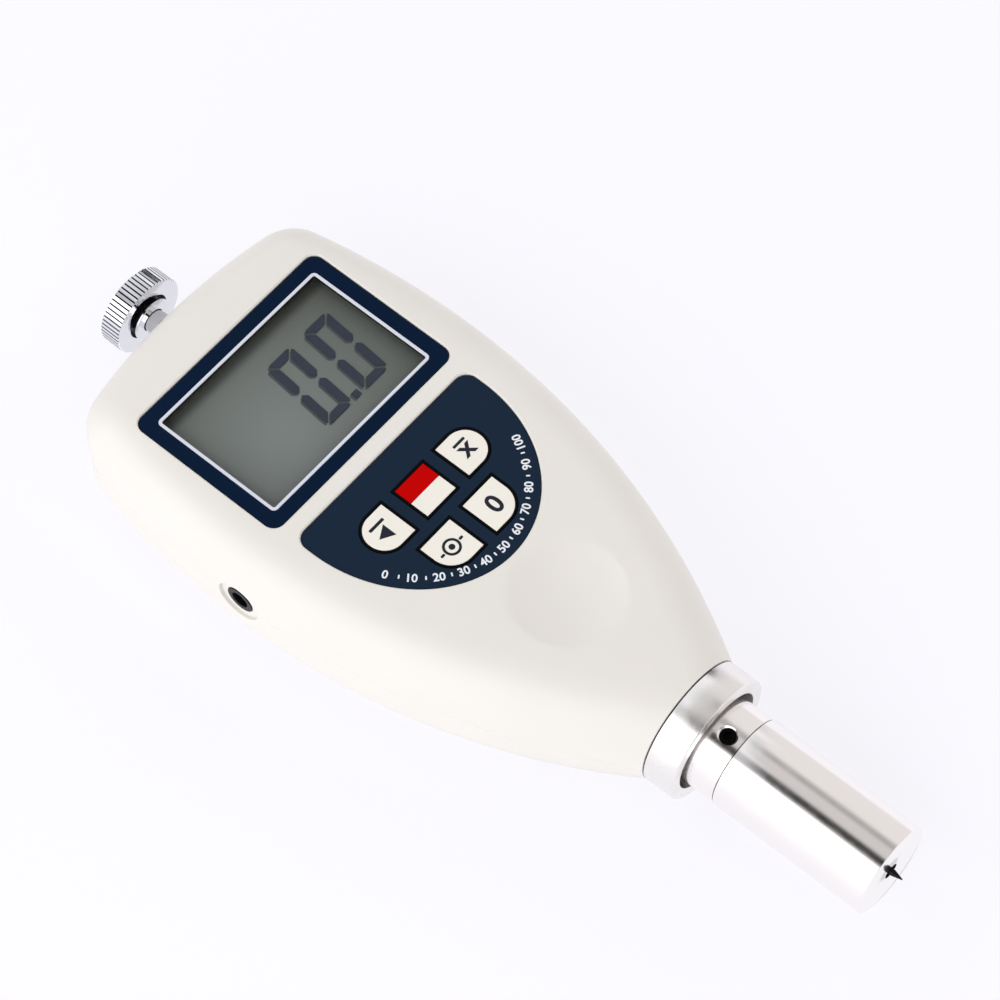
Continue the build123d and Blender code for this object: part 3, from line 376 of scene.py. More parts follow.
def piece(name, bm, node=None, body="case", slot=None, finish=None, sharp=32, second=None):
    """Make an object of the part from a bmesh in millimetres; it may stand for a CAD solid.

    A second finish goes on the faces that carry material number 1.
    """
    if node:
        body, slot = body_of[node], slot_of[node]
    bmesh.ops.remove_doubles(bm, verts=bm.verts, dist=0.002)
    bmesh.ops.recalc_face_normals(bm, faces=bm.faces)
    bmesh.ops.scale(bm, vec=(MM, MM, MM), verts=bm.verts)
    mesh = meshed(bm, name)
    mesh.shade_smooth()
    mesh.set_sharp_from_angle(angle=radians(sharp))
    for each in (finish or finishes[slot], second):
        if each:
            mesh.materials.append(each)
    made = put(name, mesh)
    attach(made, body)
    if node:
        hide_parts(node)
    print(name, len(mesh.polygons), "faces")
    return made


# %% [markdown]
# ## Cutting
# Pockets and holes are cut the way a mould has its cores: a shape that stands for the empty space is
# taken away. Blender does that with a Boolean modifier, run at once so that only the result stays.

# %% Cutters
def as_object(bm):
    """A passing object for a modifier to work on."""
    return put("passing", meshed(bm))


def settle(passing, *others):
    """What an object's modifiers or letters make, as a bmesh; the objects are removed."""
    shaped = passing.evaluated_get(bpy.context.evaluated_depsgraph_get())
    bm = bmesh.new()
    bm.from_mesh(shaped.to_mesh())
    shaped.to_mesh_clear()
    for each in (passing, *others):
        store = bpy.data.curves if each.type == "FONT" else bpy.data.meshes
        store.remove(each.data)
    return bm


def carve(bm, *cutters):
    """Take each cutter's space out of a bmesh."""
    bmesh.ops.recalc_face_normals(bm, faces=bm.faces)
    passing = as_object(bm)
    others = []
    for cutter in cutters:
        bmesh.ops.recalc_face_normals(cutter, faces=cutter.faces)
        others.append(as_object(cutter))
        cut = passing.modifiers.new("cut", "BOOLEAN")
        cut.operation, cut.solver, cut.object = "DIFFERENCE", "EXACT", others[-1]
    return settle(passing, *others)


# %% [markdown]
# Most cutters are bars and blocks. What is printed or let into the front is a plate: a flat outline
# pulled up to its thickness.

# %% Bars, blocks and plates
def upright(way):
    """The turn that brings the Z axis to a direction."""
    return Vector(way).to_track_quat("Z", "Y").to_matrix().to_4x4()


def rod(start, end, radius, segments=64):
    """A round bar between two points."""
    start, end = Vector(start), Vector(end)
    bm = bmesh.new()
    place = Matrix.Translation((start + end) / 2) @ upright(end - start)
    size = {"radius1": radius, "radius2": radius, "depth": (end - start).length}
    bmesh.ops.create_cone(bm, cap_ends=True, segments=segments, matrix=place, **size)
    return bm


def block(low, high):
    """A rectangular block between two corners."""
    low, high = Vector(low), Vector(high)
    bm = bmesh.new()
    place = Matrix.Translation((low + high) / 2) @ Matrix.Diagonal((*(high - low), 1))
    bmesh.ops.create_cube(bm, size=1, matrix=place)
    return bm


def move(bm, *way):
    """Move a whole shape."""
    bmesh.ops.translate(bm, vec=way, verts=bm.verts)


def points(geom):
    """The vertices among what an operator gives back."""
    return [g for g in geom if isinstance(g, bmesh.types.BMVert)]


def slab(bm, low, high):
    """Pull flat faces up into plates between two heights."""
    move(bm, 0, 0, low)
    grown = bmesh.ops.extrude_face_region(bm, geom=list(bm.faces))["geom"]
    bmesh.ops.translate(bm, vec=(0, 0, high - low), verts=points(grown))
    return bm


def join(bm, *others):
    """Put other shapes into the same bmesh."""
    for other in others:
        mesh = meshed(other)
        bm.from_mesh(mesh)
        bpy.data.meshes.remove(mesh)
    return bm


# %% [markdown]
# No real edge is quite sharp: even a hard one catches a thin line of light. A bevel rounds the corners of
# an outline, and those edges of a shape where its faces meet at more than an angle.

# %% Rounding
def bevel(bm, geom, width, segments, affect="EDGES"):
    """Round the given edges or corners by a width."""
    shape = {"segments": segments, "profile": 0.5, "material": -1, "clamp_overlap": False}
    bmesh.ops.bevel(bm, geom=geom, offset=width, affect=affect, **shape)


def rounded(low, high, corner, segments=10):
    """A flat rectangle between two corners (x, y), its own corners rounded."""
    bm = bmesh.new()
    spots = ((low[0], low[1]), (high[0], low[1]), (high[0], high[1]), (low[0], high[1]))
    bm.faces.new([bm.verts.new((x, y, 0)) for x, y in spots])
    bevel(bm, list(bm.verts), corner, segments, "VERTICES")
    return bm


def soften(bm, width, segments=3, angle=40, where=lambda edge: True):
    """Round the sharp edges of a shape, or those that a test lets through."""
    bmesh.ops.remove_doubles(bm, verts=bm.verts, dist=0.01)
    bmesh.ops.recalc_face_normals(bm, faces=bm.faces)
    joins = [e for e in bm.edges if len(e.link_faces) == 2 and where(e)]
    bevel(bm, [e for e in joins if e.calc_face_angle() > radians(angle)], width, segments)
    return bm


# %% [markdown]
# ## The case
# The case is a flat drop: round at the nose, where it meets the collar, and swelling to a broad head. Its
# halves meet half-way through its thickness. The plan of the head is drawn from three arcs that run into
# one another, the side, the corner and the arched end, and then mirrored.

# %% Plan of the head
edge_radius, corner_radius, arch_radius = 8.0, 9.3, 120.0
widest_y = end_y - 42.5
nose_radius = box("nose_collar")[1].x
side_radius = ((widest_y - nose_y) ** 2 + (half_wide - nose_radius) ** 2) / (2 * (half_wide - nose_radius))
side_centre = Vector((half_wide - side_radius, widest_y))
arch_centre = Vector((0, end_y - arch_radius))

# The corner's centre is as far from the side's centre and from the arch's as the difference of their radii.
from_side, from_arch = side_radius - corner_radius, arch_radius - corner_radius
span = (arch_centre - side_centre).length
along = (from_side**2 - from_arch**2 + span**2) / (2 * span)
ahead = (arch_centre - side_centre) / span
corner_centre = side_centre + ahead * along + Vector((-ahead.y, ahead.x)) * sqrt(from_side**2 - along**2)


def sweep(bm, start, centre, angle, steps):
    """Carry a vertex about a centre and return where it ends; its way is an arc of edges."""
    swept = bmesh.ops.spin(bm, geom=[start], cent=(*centre, 0), axis=(0, 0, 1), angle=angle, steps=steps)
    return points(swept["geom_last"])[0]


to_corner = atan2(*reversed(corner_centre - side_centre))
to_arch = atan2(*reversed(corner_centre - arch_centre))
body = bmesh.new()
point = body.verts.new((half_wide, widest_y, 0))
point = sweep(body, point, side_centre, to_corner, 16)
point = sweep(body, point, corner_centre, to_arch - to_corner, 16)
sweep(body, point, arch_centre, pi / 2 - to_arch, 10)
bmesh.ops.mirror(body, geom=body.verts[:] + body.edges[:], axis="X", merge_dist=0.01)
bmesh.ops.contextual_create(body, geom=body.edges[:])
print("plan of the head:", len(body.verts), "points,", len(body.faces), "face")

# %% [markdown]
# The plan is pulled up to the full thickness and rounded along its rim. The end that faces the nose is
# opened and drawn out, ring by ring. A formula then gives each ring its section, flat in front and
# rounder towards the nose.

# %% Head, drawn out to the nose
def draw_out(bm, ring, shift):
    """Extrude an open ring of edges along the barrel's axis; the new ring and its points."""
    grown = bmesh.ops.extrude_edge_only(bm, edges=ring)["geom"]
    moved = points(grown)
    bmesh.ops.translate(bm, vec=(0, shift, 0), verts=moved)
    return [g for g in grown if isinstance(g, bmesh.types.BMEdge) and g.is_boundary], moved


def section(spot):
    """Move a point of the widest section to the same place on the section at its own y."""
    left = (widest_y - spot.y) / (widest_y - nose_y)
    wide = side_centre.x + sqrt(side_radius**2 - (spot.y - widest_y) ** 2)
    deep = axis_z - (axis_z - nose_radius) * left**4
    edge = min(edge_radius + (nose_radius - edge_radius) * left**3, min(wide, deep) - 0.15)
    x, z = abs(spot.x), abs(spot.z - axis_z)
    flat_x, flat_z = half_wide - edge_radius, axis_z - edge_radius
    turn = atan2(max(z - flat_z, 0), max(x - flat_x, 0))
    x = (wide - edge) * min(x / flat_x, 1) + edge * cos(turn)
    z = (deep - edge) * min(z / flat_z, 1) + edge * sin(turn)
    return (x if spot.x > 0 else -x, spot.y, axis_z + (z if spot.z > axis_z else -z))


slab(body, 0, front_z)
level_edges = [e for e in body.edges if abs(e.verts[0].co.z - e.verts[1].co.z) < 0.01]
rim_edges = [e for e in level_edges if max(v.co.y for v in e.verts) > widest_y + 0.01]
bevel(body, rim_edges, edge_radius, 12)
cut_end = [f for f in body.faces if all(abs(v.co.y - widest_y) < 0.01 for v in f.verts)]
bmesh.ops.delete(body, geom=cut_end, context="FACES_ONLY")
flats = [e for e in body.edges if e.is_boundary and e.calc_length() > half_wide]
bmesh.ops.subdivide_edges(body, edges=flats, cuts=47)
ring = [e for e in body.edges if e.is_boundary]
rings = 72
for _ in range(rings):
    ring, _ = draw_out(body, ring, -(widest_y - nose_y) / rings)
bmesh.ops.contextual_create(body, geom=ring)
for vert in body.verts:
    if vert.co.y < widest_y - 0.01:
        vert.co = section(vert.co)
bmesh.ops.recalc_face_normals(body, faces=body.faces)
print("body:", len(body.faces), "faces, volume", round(body.calc_volume() / 1000, 1), "cm3")

# %% [markdown]
# A thumb rests in a shallow dish below the keypad. It has no edge to feel, so the points within its
# radius sink by a power of their distance from the rim, which falls away like the print of a ball.

# %% Thumb dish
dish_y, dish_radius, dish_depth = nose_y + 27.5, 10.6, 1.9
for vert in body.verts:
    away = hypot(vert.co.x, vert.co.y - dish_y) / dish_radius
    if vert.co.z > axis_z and away < 1:
        vert.co.z -= dish_depth * (1 - away**2) ** 0.9
print("thumb dish at y", round(dish_y, 1), "with a radius of", dish_radius, "mm")

# %% [markdown]
# Each half is the same skin cut at the middle plane and given the wall of a moulding. The edge where the
# halves meet is broken a little, which shows as a fine parting line. Four holes lie on that line, so both
# halves are cut by the same bars.

# %% Halves, and the cutters that both share
wall = 2.6


def half(bm, side):
    """The front (side 1) or back (side -1) of the case as a shell with a wall."""
    skin = bm.copy()
    whole = skin.verts[:] + skin.edges[:] + skin.faces[:]
    plane = {"plane_co": (0, 0, axis_z), "plane_no": (0, 0, side)}
    bmesh.ops.bisect_plane(skin, geom=whole, clear_inner=True, **plane)
    shell = as_object(skin)
    thick = shell.modifiers.new("wall", "SOLIDIFY")
    thick.thickness, thick.offset, thick.use_even_offset = wall, -1, True
    shell = settle(shell)
    return soften(shell, 0.1, 1, where=lambda edge: all(abs(v.co.z - axis_z) < 0.01 for v in edge.verts))


jack_x, jack_y, jack_z = box("jack_socket")[0].x, *middle("jack_socket").yz
plug_y = middle("side_plug").y
outside, inside = half_wide + 5, half_wide - 8
jack_recess, jack_hole, plug_hole, nose_hole, screw_hole = 4.5, 2.95, 2.1, 8.65, 4.25


def sockets():
    """The holes that run through both halves: jack, plug, nose and thumb screw."""
    return (
        rod((-outside, jack_y, jack_z), (jack_x + 0.2, jack_y, jack_z), jack_recess),
        rod((-outside, jack_y, jack_z), (-inside, jack_y, jack_z), jack_hole),
        rod((outside, plug_y, axis_z), (inside, plug_y, axis_z), plug_hole),
        rod((0, nose_y - 2, axis_z), (0, nose_y + 6, axis_z), nose_hole),
        rod((0, end_y + 2, axis_z), (0, end_y - 6, axis_z), screw_hole),
    )


print("jack at y", round(jack_y, 1), "and plug at y", round(plug_y, 1))

# %% [markdown]
# The front takes its two panels in shallow pockets, with a narrow gap all round. The edge of the case is
# flared at each pocket, as a mould leaves it, so the gap shows as a soft line.

# %% Outlines of the panels
panel_gap, above = 0.12, front_z + 1
pad_low, pad_high = box("keypad_panel")
pad_level, pad_corner, bezel_corner = pad_high.y - 4.1, 2.6, 2.3
bezel_low, bezel_high = box("display_bezel")


def keypad_plan(grow):
    """The keypad's outline: a straight top with round corners, and half an ellipse below."""
    half_width, top = pad_high.x + grow, pad_high.y + grow
    bm = bmesh.new()
    right = bm.verts.new((half_width, 0, 0))
    left = sweep(bm, right, (0, 0), -pi, 72)
    bmesh.ops.scale(bm, vec=(1, (pad_level - pad_low.y + grow) / half_width, 1), verts=bm.verts)
    move(bm, 0, pad_level, 0)
    corners = [bm.verts.new((x, top, 0)) for x in (-half_width, half_width)]
    for pair in ((left, corners[0]), corners, (corners[1], right)):
        bm.edges.new(pair)
    bmesh.ops.contextual_create(bm, geom=bm.edges[:])
    bevel(bm, corners, pad_corner + grow, 10, "VERTICES")
    return bm


def bezel_plan(grow):
    """The outline of the display's surround, grown all round."""
    wider = Vector((grow, grow, 0))
    return rounded(bezel_low - wider, bezel_high + wider, bezel_corner + grow)


def pocket(plan):
    """The cutters for a panel's pocket: straight walls, and a flare at the edge of the case."""
    low, high = front_z - 0.25, above
    flare = plan(panel_gap)
    move(flare, 0, 0, low)
    wide = plan(panel_gap + high - low)
    move(wide, 0, 0, high)
    join(flare, wide)
    bmesh.ops.bridge_loops(flare, edges=flare.edges[:])
    return slab(plan(panel_gap), panel_floor, above), flare


# %% [markdown]
# The window sits on a ledge, so its hole is cut twice: with a gap round the window, and smaller right
# through. The hole under the keypad is its outline, drawn in by the width of the rim that the foil sticks
# to.

# %% Front half
window_low, window_high = box("display_window")
gap = Vector((panel_gap, panel_gap, 0))
ledge = Vector((1.2, 1.2, 0))
foil_rim, hole_z = 2.5, axis_z + 3
front = carve(
    half(body, 1),
    *pocket(bezel_plan),
    block(window_low - gap, (*(window_high + gap).xy, above)),
    block((*(window_low + ledge).xy, hole_z), (*(window_high - ledge).xy, above)),
    *pocket(keypad_plan),
    slab(keypad_plan(-foil_rim), hole_z, above),
    *sockets(),
)
piece("case_front", front, "front_case", sharp=20)

# %% [markdown]
# The back holds the battery door. A shallow tray takes the door, two slots beside it take the door's
# tongues, and an open bay behind it takes the cells. Screws hold the halves together from the bottom of
# round wells.

# %% Back half
cover_low, cover_high = box("battery_cover")
cells_low, cells_high = box("battery_contacts")
tongue, door_top, slot_floor = 1.08, 1.65, 0.75
bay_side, bay_gap = 1.95, 0.1
bay_low = Vector((cover_low.x + bay_side, cells_low.y - bay_gap, -1))
bay_high = Vector((cover_high.x - bay_side, cells_high.y + bay_gap, box("battery_cells")[1].z + bay_gap))
screw_seat, well_radius, cup_radius, shank_hole = 4.0, 2.8, 3.8, 1.3
screw_places = [(side * 13.6, nose_y + 19.5) for side in (-1, 1)]


def well(x, y):
    """The round well of a case screw, as a cup with a hole in its floor."""
    return carve(
        rod((x, y, wall + 0.2), (x, y, screw_seat + 2), cup_radius, 40),
        rod((x, y, 0), (x, y, screw_seat), well_radius, 40),
        rod((x, y, 0), (x, y, 9), shank_hole, 24),
    )


tray_y, past_end = cover_low.y - panel_gap, end_y + 2
back = carve(
    half(body, -1),
    block((cover_low.x + tongue, tray_y, -1), (cover_high.x - tongue, past_end, door_top)),
    block((cover_low.x - panel_gap, tray_y, slot_floor), (cover_high.x + panel_gap, past_end, door_top)),
    block(bay_low, bay_high),
    *(rod((x, y, -2), (x, y, 6), well_radius, 40) for x, y in screw_places),
    *sockets(),
)
rib, rib_lift = 1.4, 2.7
bay_outside = block(bay_low + Vector((-rib, -rib, rib_lift)), bay_high + Vector((rib, rib, rib)))
bay = carve(bay_outside, block(bay_low, bay_high))
join(back, bay, *(well(x, y) for x, y in screw_places))
piece("case_back", back, "rear_case")
body.free()

# %% [markdown]
# ## The nose
# Everything on the nose comes off a lathe, so each piece is one outline spun about the barrel's axis: the
# long presser foot, the collar with its open mouth, the lock ring and the needle.

# %% Presser foot and collar
def turned(outline, closed=True, steps=128):
    """Spin an outline of (radius, y) points about the barrel's axis."""
    bm = bmesh.new()
    spots = [bm.verts.new((radius, y, axis_z)) for radius, y in outline]
    for pair in zip(spots, spots[1:] + spots[:1] if closed else spots[1:]):
        bm.edges.new(pair)
    about = {"cent": (0, 0, axis_z), "axis": (0, 1, 0), "angle": 2 * pi}
    bmesh.ops.spin(bm, geom=bm.verts[:] + bm.edges[:], steps=steps, use_merge=True, **about)
    return bm


foot_y, foot_end = box("presser_foot")[0].y, box("presser_foot")[1].y
barrel_radius = box("presser_foot")[1].x
needle_bore, tube_bore, foot_floor = 1.5, 6.55, foot_y + 5
foot = turned([
    (needle_bore, foot_y), (barrel_radius - 0.15, foot_y), (barrel_radius, foot_y + 0.15),
    (barrel_radius, foot_end - 0.15), (barrel_radius - 0.15, foot_end), (tube_bore, foot_end),
    (tube_bore, foot_floor), (needle_bore, foot_floor),
])
soften(foot, 0.06, segments=2)
piece("foot_barrel", foot, "presser_foot", finish=steel_painted_dark_bore)

collar_y, collar_end = box("nose_collar")[0].y, box("nose_gasket")[0].y
mouth, inner, collar_bore = 10.1, 9.5, 6.6
mouth_floor, inner_floor = collar_y + 3.2, collar_y + 4.4
collar = turned([
    (mouth, collar_y), (nose_radius - 0.25, collar_y), (nose_radius, collar_y + 0.25),
    (nose_radius, collar_end), (collar_bore, collar_end), (collar_bore, inner_floor), (inner, inner_floor),
    (inner, mouth_floor), (mouth, mouth_floor),
])
soften(collar, 0.1, segments=2)
piece("nose_collar_turned", collar, "nose_collar")

# %% [markdown]
# The lock ring is crossed by a small black set screw with a hexagon socket. Its hole has a wide
# countersink, which shines round the screw, and the screw leans a little to the left.

# %% Lock ring and set screw
ring_radius, ring_end = barrel_radius - 0.08, box("lock_ring")[1].y
ring_start = foot_end + 0.12
screw_middle = middle("set_screw")
ring_axis = Vector((0, screw_middle.y, axis_z))
screw_way = (screw_middle - ring_axis).normalized()
lock = turned([
    (tube_bore, ring_start), (ring_radius - 0.1, ring_start), (ring_radius, ring_start + 0.1),
    (ring_radius, ring_end), (tube_bore, ring_end),
])
grub_hole, sink_radius = 1.55, 2.35
sink = bmesh.new()
sink_place = Matrix.Translation(ring_axis + screw_way * ring_radius) @ upright(screw_way)
sink_size = {"radius1": grub_hole, "radius2": sink_radius, "depth": 0.8}
bmesh.ops.create_cone(sink, cap_ends=True, segments=48, matrix=sink_place, **sink_size)
lock = carve(lock, rod(ring_axis + screw_way * 5, ring_axis + screw_way * 12, grub_hole, 48), sink)
piece("barrel_lock_ring", lock, "lock_ring")

grub_low, grub_high = ring_axis + screw_way * 6.65, ring_axis + screw_way * 8.55
grub_radius, key_radius = 1.5, 0.87
key_hole = rod(grub_high - screw_way * 1.2, grub_high + screw_way, key_radius, 6)
grub = carve(rod(grub_low, grub_high, grub_radius, 48), key_hole)
soften(grub, 0.08, segments=2)
piece("grub_screw", grub, "set_screw")

# %% [markdown]
# The needle is a ground cone with a blunt tip, 30 degrees wide, on a straight shank. It is spun from an
# outline that starts on the axis, so its tip closes by itself.

# %% Needle
tip_y, shank_end = box("indenter")[0].y, box("indenter")[1].y
shank_radius, cone_length = 0.625, 2.0
needle = turned([
    (0, tip_y), (0.06, tip_y), (0.1, tip_y + 0.04), (shank_radius, tip_y + cone_length),
    (shank_radius, shank_end - 0.1), (0.5, shank_end), (0, shank_end),
], closed=False, steps=48)
piece("needle", needle, "indenter")

# %% [markdown]
# ## The thumb screw
# Its knob has straight knurls: fine V grooves pressed into the rim from end to end, with flat lands
# between them. A ring of edges is drawn along the axis, and each new ring is set to its radius; on the
# rim every sixth point is pushed in to make a groove. The outer face is let in a little.

# %% Knurled knob
knob_low, knob_high = box("thumb_knob")
knob_radius, knob_edge, flat_radius = knob_high.x, 0.12, knob_high.x - 0.6
groove_count, groove_depth, land_points = 56, 0.3, 6


def ring_out(bm, ring, shift, radius, grooved=False):
    """Draw a ring out to a radius; a grooved ring has its first point of every few pushed in."""
    ring, moved = draw_out(bm, ring, shift)
    for vert in moved:
        way = Vector((vert.co.x, 0, vert.co.z - axis_z)).normalized()
        place = atan2(way.z, way.x) * groove_count / (2 * pi)
        depth = groove_depth if grooved and abs(place - round(place)) < 0.5 / land_points else 0
        spot = way * min(radius, knob_radius - depth)
        vert.co = (spot.x, vert.co.y, axis_z + spot.z)
    return ring


knob = bmesh.new()
stood = Matrix.Translation((0, knob_low.y, axis_z)) @ Matrix.Rotation(pi / 2, 4, "X")
bmesh.ops.create_circle(knob, radius=flat_radius, segments=groove_count * land_points, matrix=stood)
first = ring = knob.edges[:]
land_edge, rim_width = knob_radius - knob_edge, knob_high.y - knob_low.y - 2 * knob_edge
rim = ((land_edge, 0), (knob_radius, knob_edge), (knob_radius, rim_width), (land_edge, knob_edge))
for radius, shift in rim:
    ring = ring_out(knob, ring, shift, radius, grooved=True)
for radius, shift in ((flat_radius, 0), (5.4, 0), (5.2, -0.15), (5.1, -0.25)):
    ring = ring_out(knob, ring, shift, radius)
bmesh.ops.contextual_create(knob, geom=ring)
print("knob with", groove_count, "grooves, radius", round(knob_radius, 2), "mm")

# %% [markdown]
# Underneath, a ring groove parts the broad face from the boss round the shaft. The faces of this groove
# and of the bottoms of the knurls carry the second finish, a duller chrome darkened as painted shade.

# %% Underside of the knob
groove_in, groove_out, bore_radius = 3.3, 4.8, 2.5
ring = first
to_groove = ((groove_out, 0), (4.7, 0.08), (4.6, 0.4), (4.4, 0.4))
to_boss = ((4.1, 0.3), (3.5, 0.1), (3.4, -0.1), (3.4, -1.1))
for radius, shift in (*to_groove, *to_boss, (bore_radius, 0), (bore_radius, 3.4)):
    ring = ring_out(knob, ring, shift, radius)
bmesh.ops.contextual_create(knob, geom=ring)
# Faces at the bottoms of the knurls and in the groove get the dark second finish: painted shade.
for face in knob.faces:
    sunk = min(hypot(v.co.x, v.co.z - axis_z) for v in face.verts) < knob_radius - groove_depth / 2
    centre = face.calc_center_median()
    on_rim = abs(centre.y - (knob_low.y + knob_high.y) / 2) < 0.5
    from_axis, height = hypot(centre.x, centre.z - axis_z), centre.y - knob_low.y
    in_groove = groove_in < from_axis < groove_out and 0.02 < height < 1.3
    face.material_index = int(sunk and on_rim or in_groove)
piece("thumb_knob_knurled", knob, "thumb_knob", second=chrome_painted_groove_shade)

# %% [markdown]
# The shaft is turned with its thread from one bar, and is a little thinner where the knob is pressed on.
# The washer below the knob is a thin disc with broken edges, on a short neck.

# %% Shaft and washer
shaft_low, shaft_high = box("thumb_shaft")
shaft_radius = shaft_high.x
seat_radius, seat_end = shaft_radius - 0.12, knob_low.y + 2
shaft = turned([
    (0, shaft_low.y), (shaft_radius - 0.4, shaft_low.y), (shaft_radius, shaft_low.y + 0.4),
    (shaft_radius, knob_low.y - 2.2), (seat_radius, knob_low.y - 2.0), (seat_radius, seat_end),
    (0, seat_end),
], closed=False, steps=64)
piece("thumb_shaft_turned", shaft, "thumb_shaft")

washer_low, washer_high = box("thumb_washer")
washer_bore, washer_rim, washer_neck = shaft_radius + 0.01, washer_high.x + 1, washer_high.x
washer = turned([
    (washer_bore, washer_low.y), (washer_rim - 0.12, washer_low.y), (washer_rim, washer_low.y + 0.12),
    (washer_rim, washer_low.y + 0.4), (washer_rim - 0.15, washer_low.y + 0.55),
    (washer_neck, washer_low.y + 0.7), (washer_neck, washer_high.y), (washer_bore, washer_high.y),
], steps=96)
piece("thumb_washer_turned", washer, "thumb_washer")

# %% [markdown]
# ## Panels, keys and small mouldings
# These have the right outline in CAD, but edges as sharp as only a drawing has. A copy of each solid is
# merged to whole faces, its edges are rounded by a tenth of a millimetre, and it stands for the solid.

# %% Softened copies
def copied(node):
    """A CAD solid's mesh in millimetres, with its loose triangles merged to whole faces."""
    bm = bmesh.new()
    bm.from_mesh(frame["nodes"][node].data)
    bmesh.ops.scale(bm, vec=(1 / MM,) * 3, verts=bm.verts)
    bmesh.ops.remove_doubles(bm, verts=bm.verts, dist=0.002)
    bmesh.ops.dissolve_limit(bm, angle_limit=radians(0.5), verts=bm.verts, edges=bm.edges)
    return bm


def softened(name, node, width, finish=None, until=end_y):
    """A piece from a CAD solid, with its edges rounded as far as a y."""
    rounded_off = soften(copied(node), width, 2, where=lambda edge: max(v.co.y for v in edge.verts) < until)
    return piece(name, rounded_off, node, finish=finish, sharp=12)


softened("display_frame", "display_bezel", 0.15, bezel_blue)
softened("keypad_plate", "keypad_panel", 0.12)
for key in ("power", "max", "average", "calibrate", "zero"):
    softened(f"{key}_key_cap", f"{key}_key", 0.12)
    softened(f"{key}_key_rim", f"{key}_key_frame", 0.08)
softened("power_key_red_band", "power_key_band", 0.12)
softened("side_plug_moulded", "side_plug", 0.1)
grip_lines = 9.2
softened("battery_door", "battery_cover", 0.12, until=cover_high.y - grip_lines)
softened("jack_body", "jack_socket", 0.15)

# %% [markdown]
# The spring is wire wound on a mandrel, and the only piece that changes its shape: the needle pushes its
# front end back, while its rear end stays on the adjuster. A copy of the solid stands for it, with a mesh
# of its own.

# %% Spring, with a mesh of its own
spring = piece("main_spring_wound", copied("main_spring"), "main_spring")
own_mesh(spring)

# %% [markdown]
# The silver line round the display is a strip with rounded corners, narrower than the step that it
# covers. It is cut as one plate out of another.

# %% Line round the display
line_low, line_high = box("display_trim")
line_width, line_corner, inner_corner = 0.62, 0.95, 0.4
inward = Vector((line_width, line_width, 0))
line = carve(
    slab(rounded(line_low, line_high, line_corner), line_low.z, line_high.z),
    slab(rounded(line_low + inward, line_high - inward, inner_corner), line_low.z - 1, line_high.z + 1),
)
soften(line, 0.08, 2)
piece("display_line", line, "display_trim", sharp=12)

# %% [markdown]
# ## Signs and scale
# What is printed is drawn flat about the origin: text, rings, discs and bars. Each sign is then moved to
# its place and pulled up by a few hundredths of a millimetre, as thick as printed ink.

# %% Flat shapes for print
def words(text, size, weight=0.0):
    """Text as a flat bmesh, centred on its own outline; weight makes it bolder."""
    data = bpy.data.curves.new("passing", "FONT")
    data.body, data.size, data.offset, data.resolution_u = text, size, weight, 4
    data.align_x, data.align_y = "CENTER", "CENTER"
    bm = settle(put("passing", data))
    bmesh.ops.remove_doubles(bm, verts=bm.verts, dist=0.001)
    xs, ys, _ = zip(*(v.co for v in bm.verts))
    move(bm, -(min(xs) + max(xs)) / 2, -(min(ys) + max(ys)) / 2, 0)
    return bm


def hoop(radius, width, segments=48):
    """A flat ring about the origin."""
    bm = bmesh.new()
    bmesh.ops.create_circle(bm, cap_ends=True, radius=radius, segments=segments)
    bmesh.ops.inset_region(bm, faces=bm.faces[:], thickness=width, use_even_offset=True, use_boundary=True)
    bmesh.ops.delete(bm, geom=[max(bm.faces, key=lambda f: len(f.verts))], context="FACES_ONLY")
    return bm


def disc(radius, segments=32):
    """A flat disc about the origin; three segments make a triangle that points up."""
    bm = bmesh.new()
    quarter = Matrix.Rotation(pi / 2, 4, "Z")
    bmesh.ops.create_circle(bm, cap_ends=True, radius=radius, segments=segments, matrix=quarter)
    return bm


def bar(x, y, width, height):
    """A flat bar with round corners about a point."""
    size = Vector((width / 2, height / 2))
    return rounded(Vector((x, y)) - size, Vector((x, y)) + size, 0.15, 3)


# %% [markdown]
# The keys carry plain signs for what they do: a peak under a bar, a mean, a target and a nought. A sign
# with a bar above it sits a little lower, so that the whole of it is in the middle of its key.

# %% Signs on the keys
ink_low, ink_high = panel_top - 0.02, panel_top + 0.03
letter, bold = 5.2, 0.12
signs = {
    "max": join(disc(1.8, 3), bar(0, 2.3, 3.6, 0.6)),
    "average": join(words("x", letter, bold), bar(0, 2.1, 2.9, 0.55)),
    "calibrate": join(hoop(1.75, 0.5), disc(0.6), *(bar(x, 0, 0.9, 0.5) for x in (-2.4, 2.4))),
    "zero": words("0", letter, bold),
}
lowered = {"max": 0.5, "average": 0.35}
for key, sign in signs.items():
    centre = middle(f"{key}_key")
    move(sign, centre.x, centre.y - lowered.get(key, 0), 0)
    slab(sign, ink_low, ink_high)
    piece(f"{key}_key_sign", sign, body=f"{key}_key", slot="lcd_dark", finish=ink_dark)

# %% [markdown]
# Along the lower edge of the keypad runs a scale from 0 to 100, with a number at every ten and a short
# stroke between two numbers. The edge is half an ellipse, so each mark is turned to stand upright on it.

# %% Scale on the keypad
scale_start, scale_end, edge_in, strokes = radians(-150), radians(-31), 2.2, 20


def on_edge(turn, inward):
    """A place inside the keypad's round edge, with the turn that stands text up there."""
    x, y = pad_high.x * cos(turn), (pad_level - pad_low.y) * sin(turn)
    out = Vector((x / pad_high.x**2, y / (pad_level - pad_low.y) ** 2)).normalized()
    spot = Vector((x, y + pad_level)) - out * inward
    return Matrix.Translation((*spot, 0)) @ Matrix.Rotation(atan2(out.y, out.x) + pi / 2, 4, "Z")


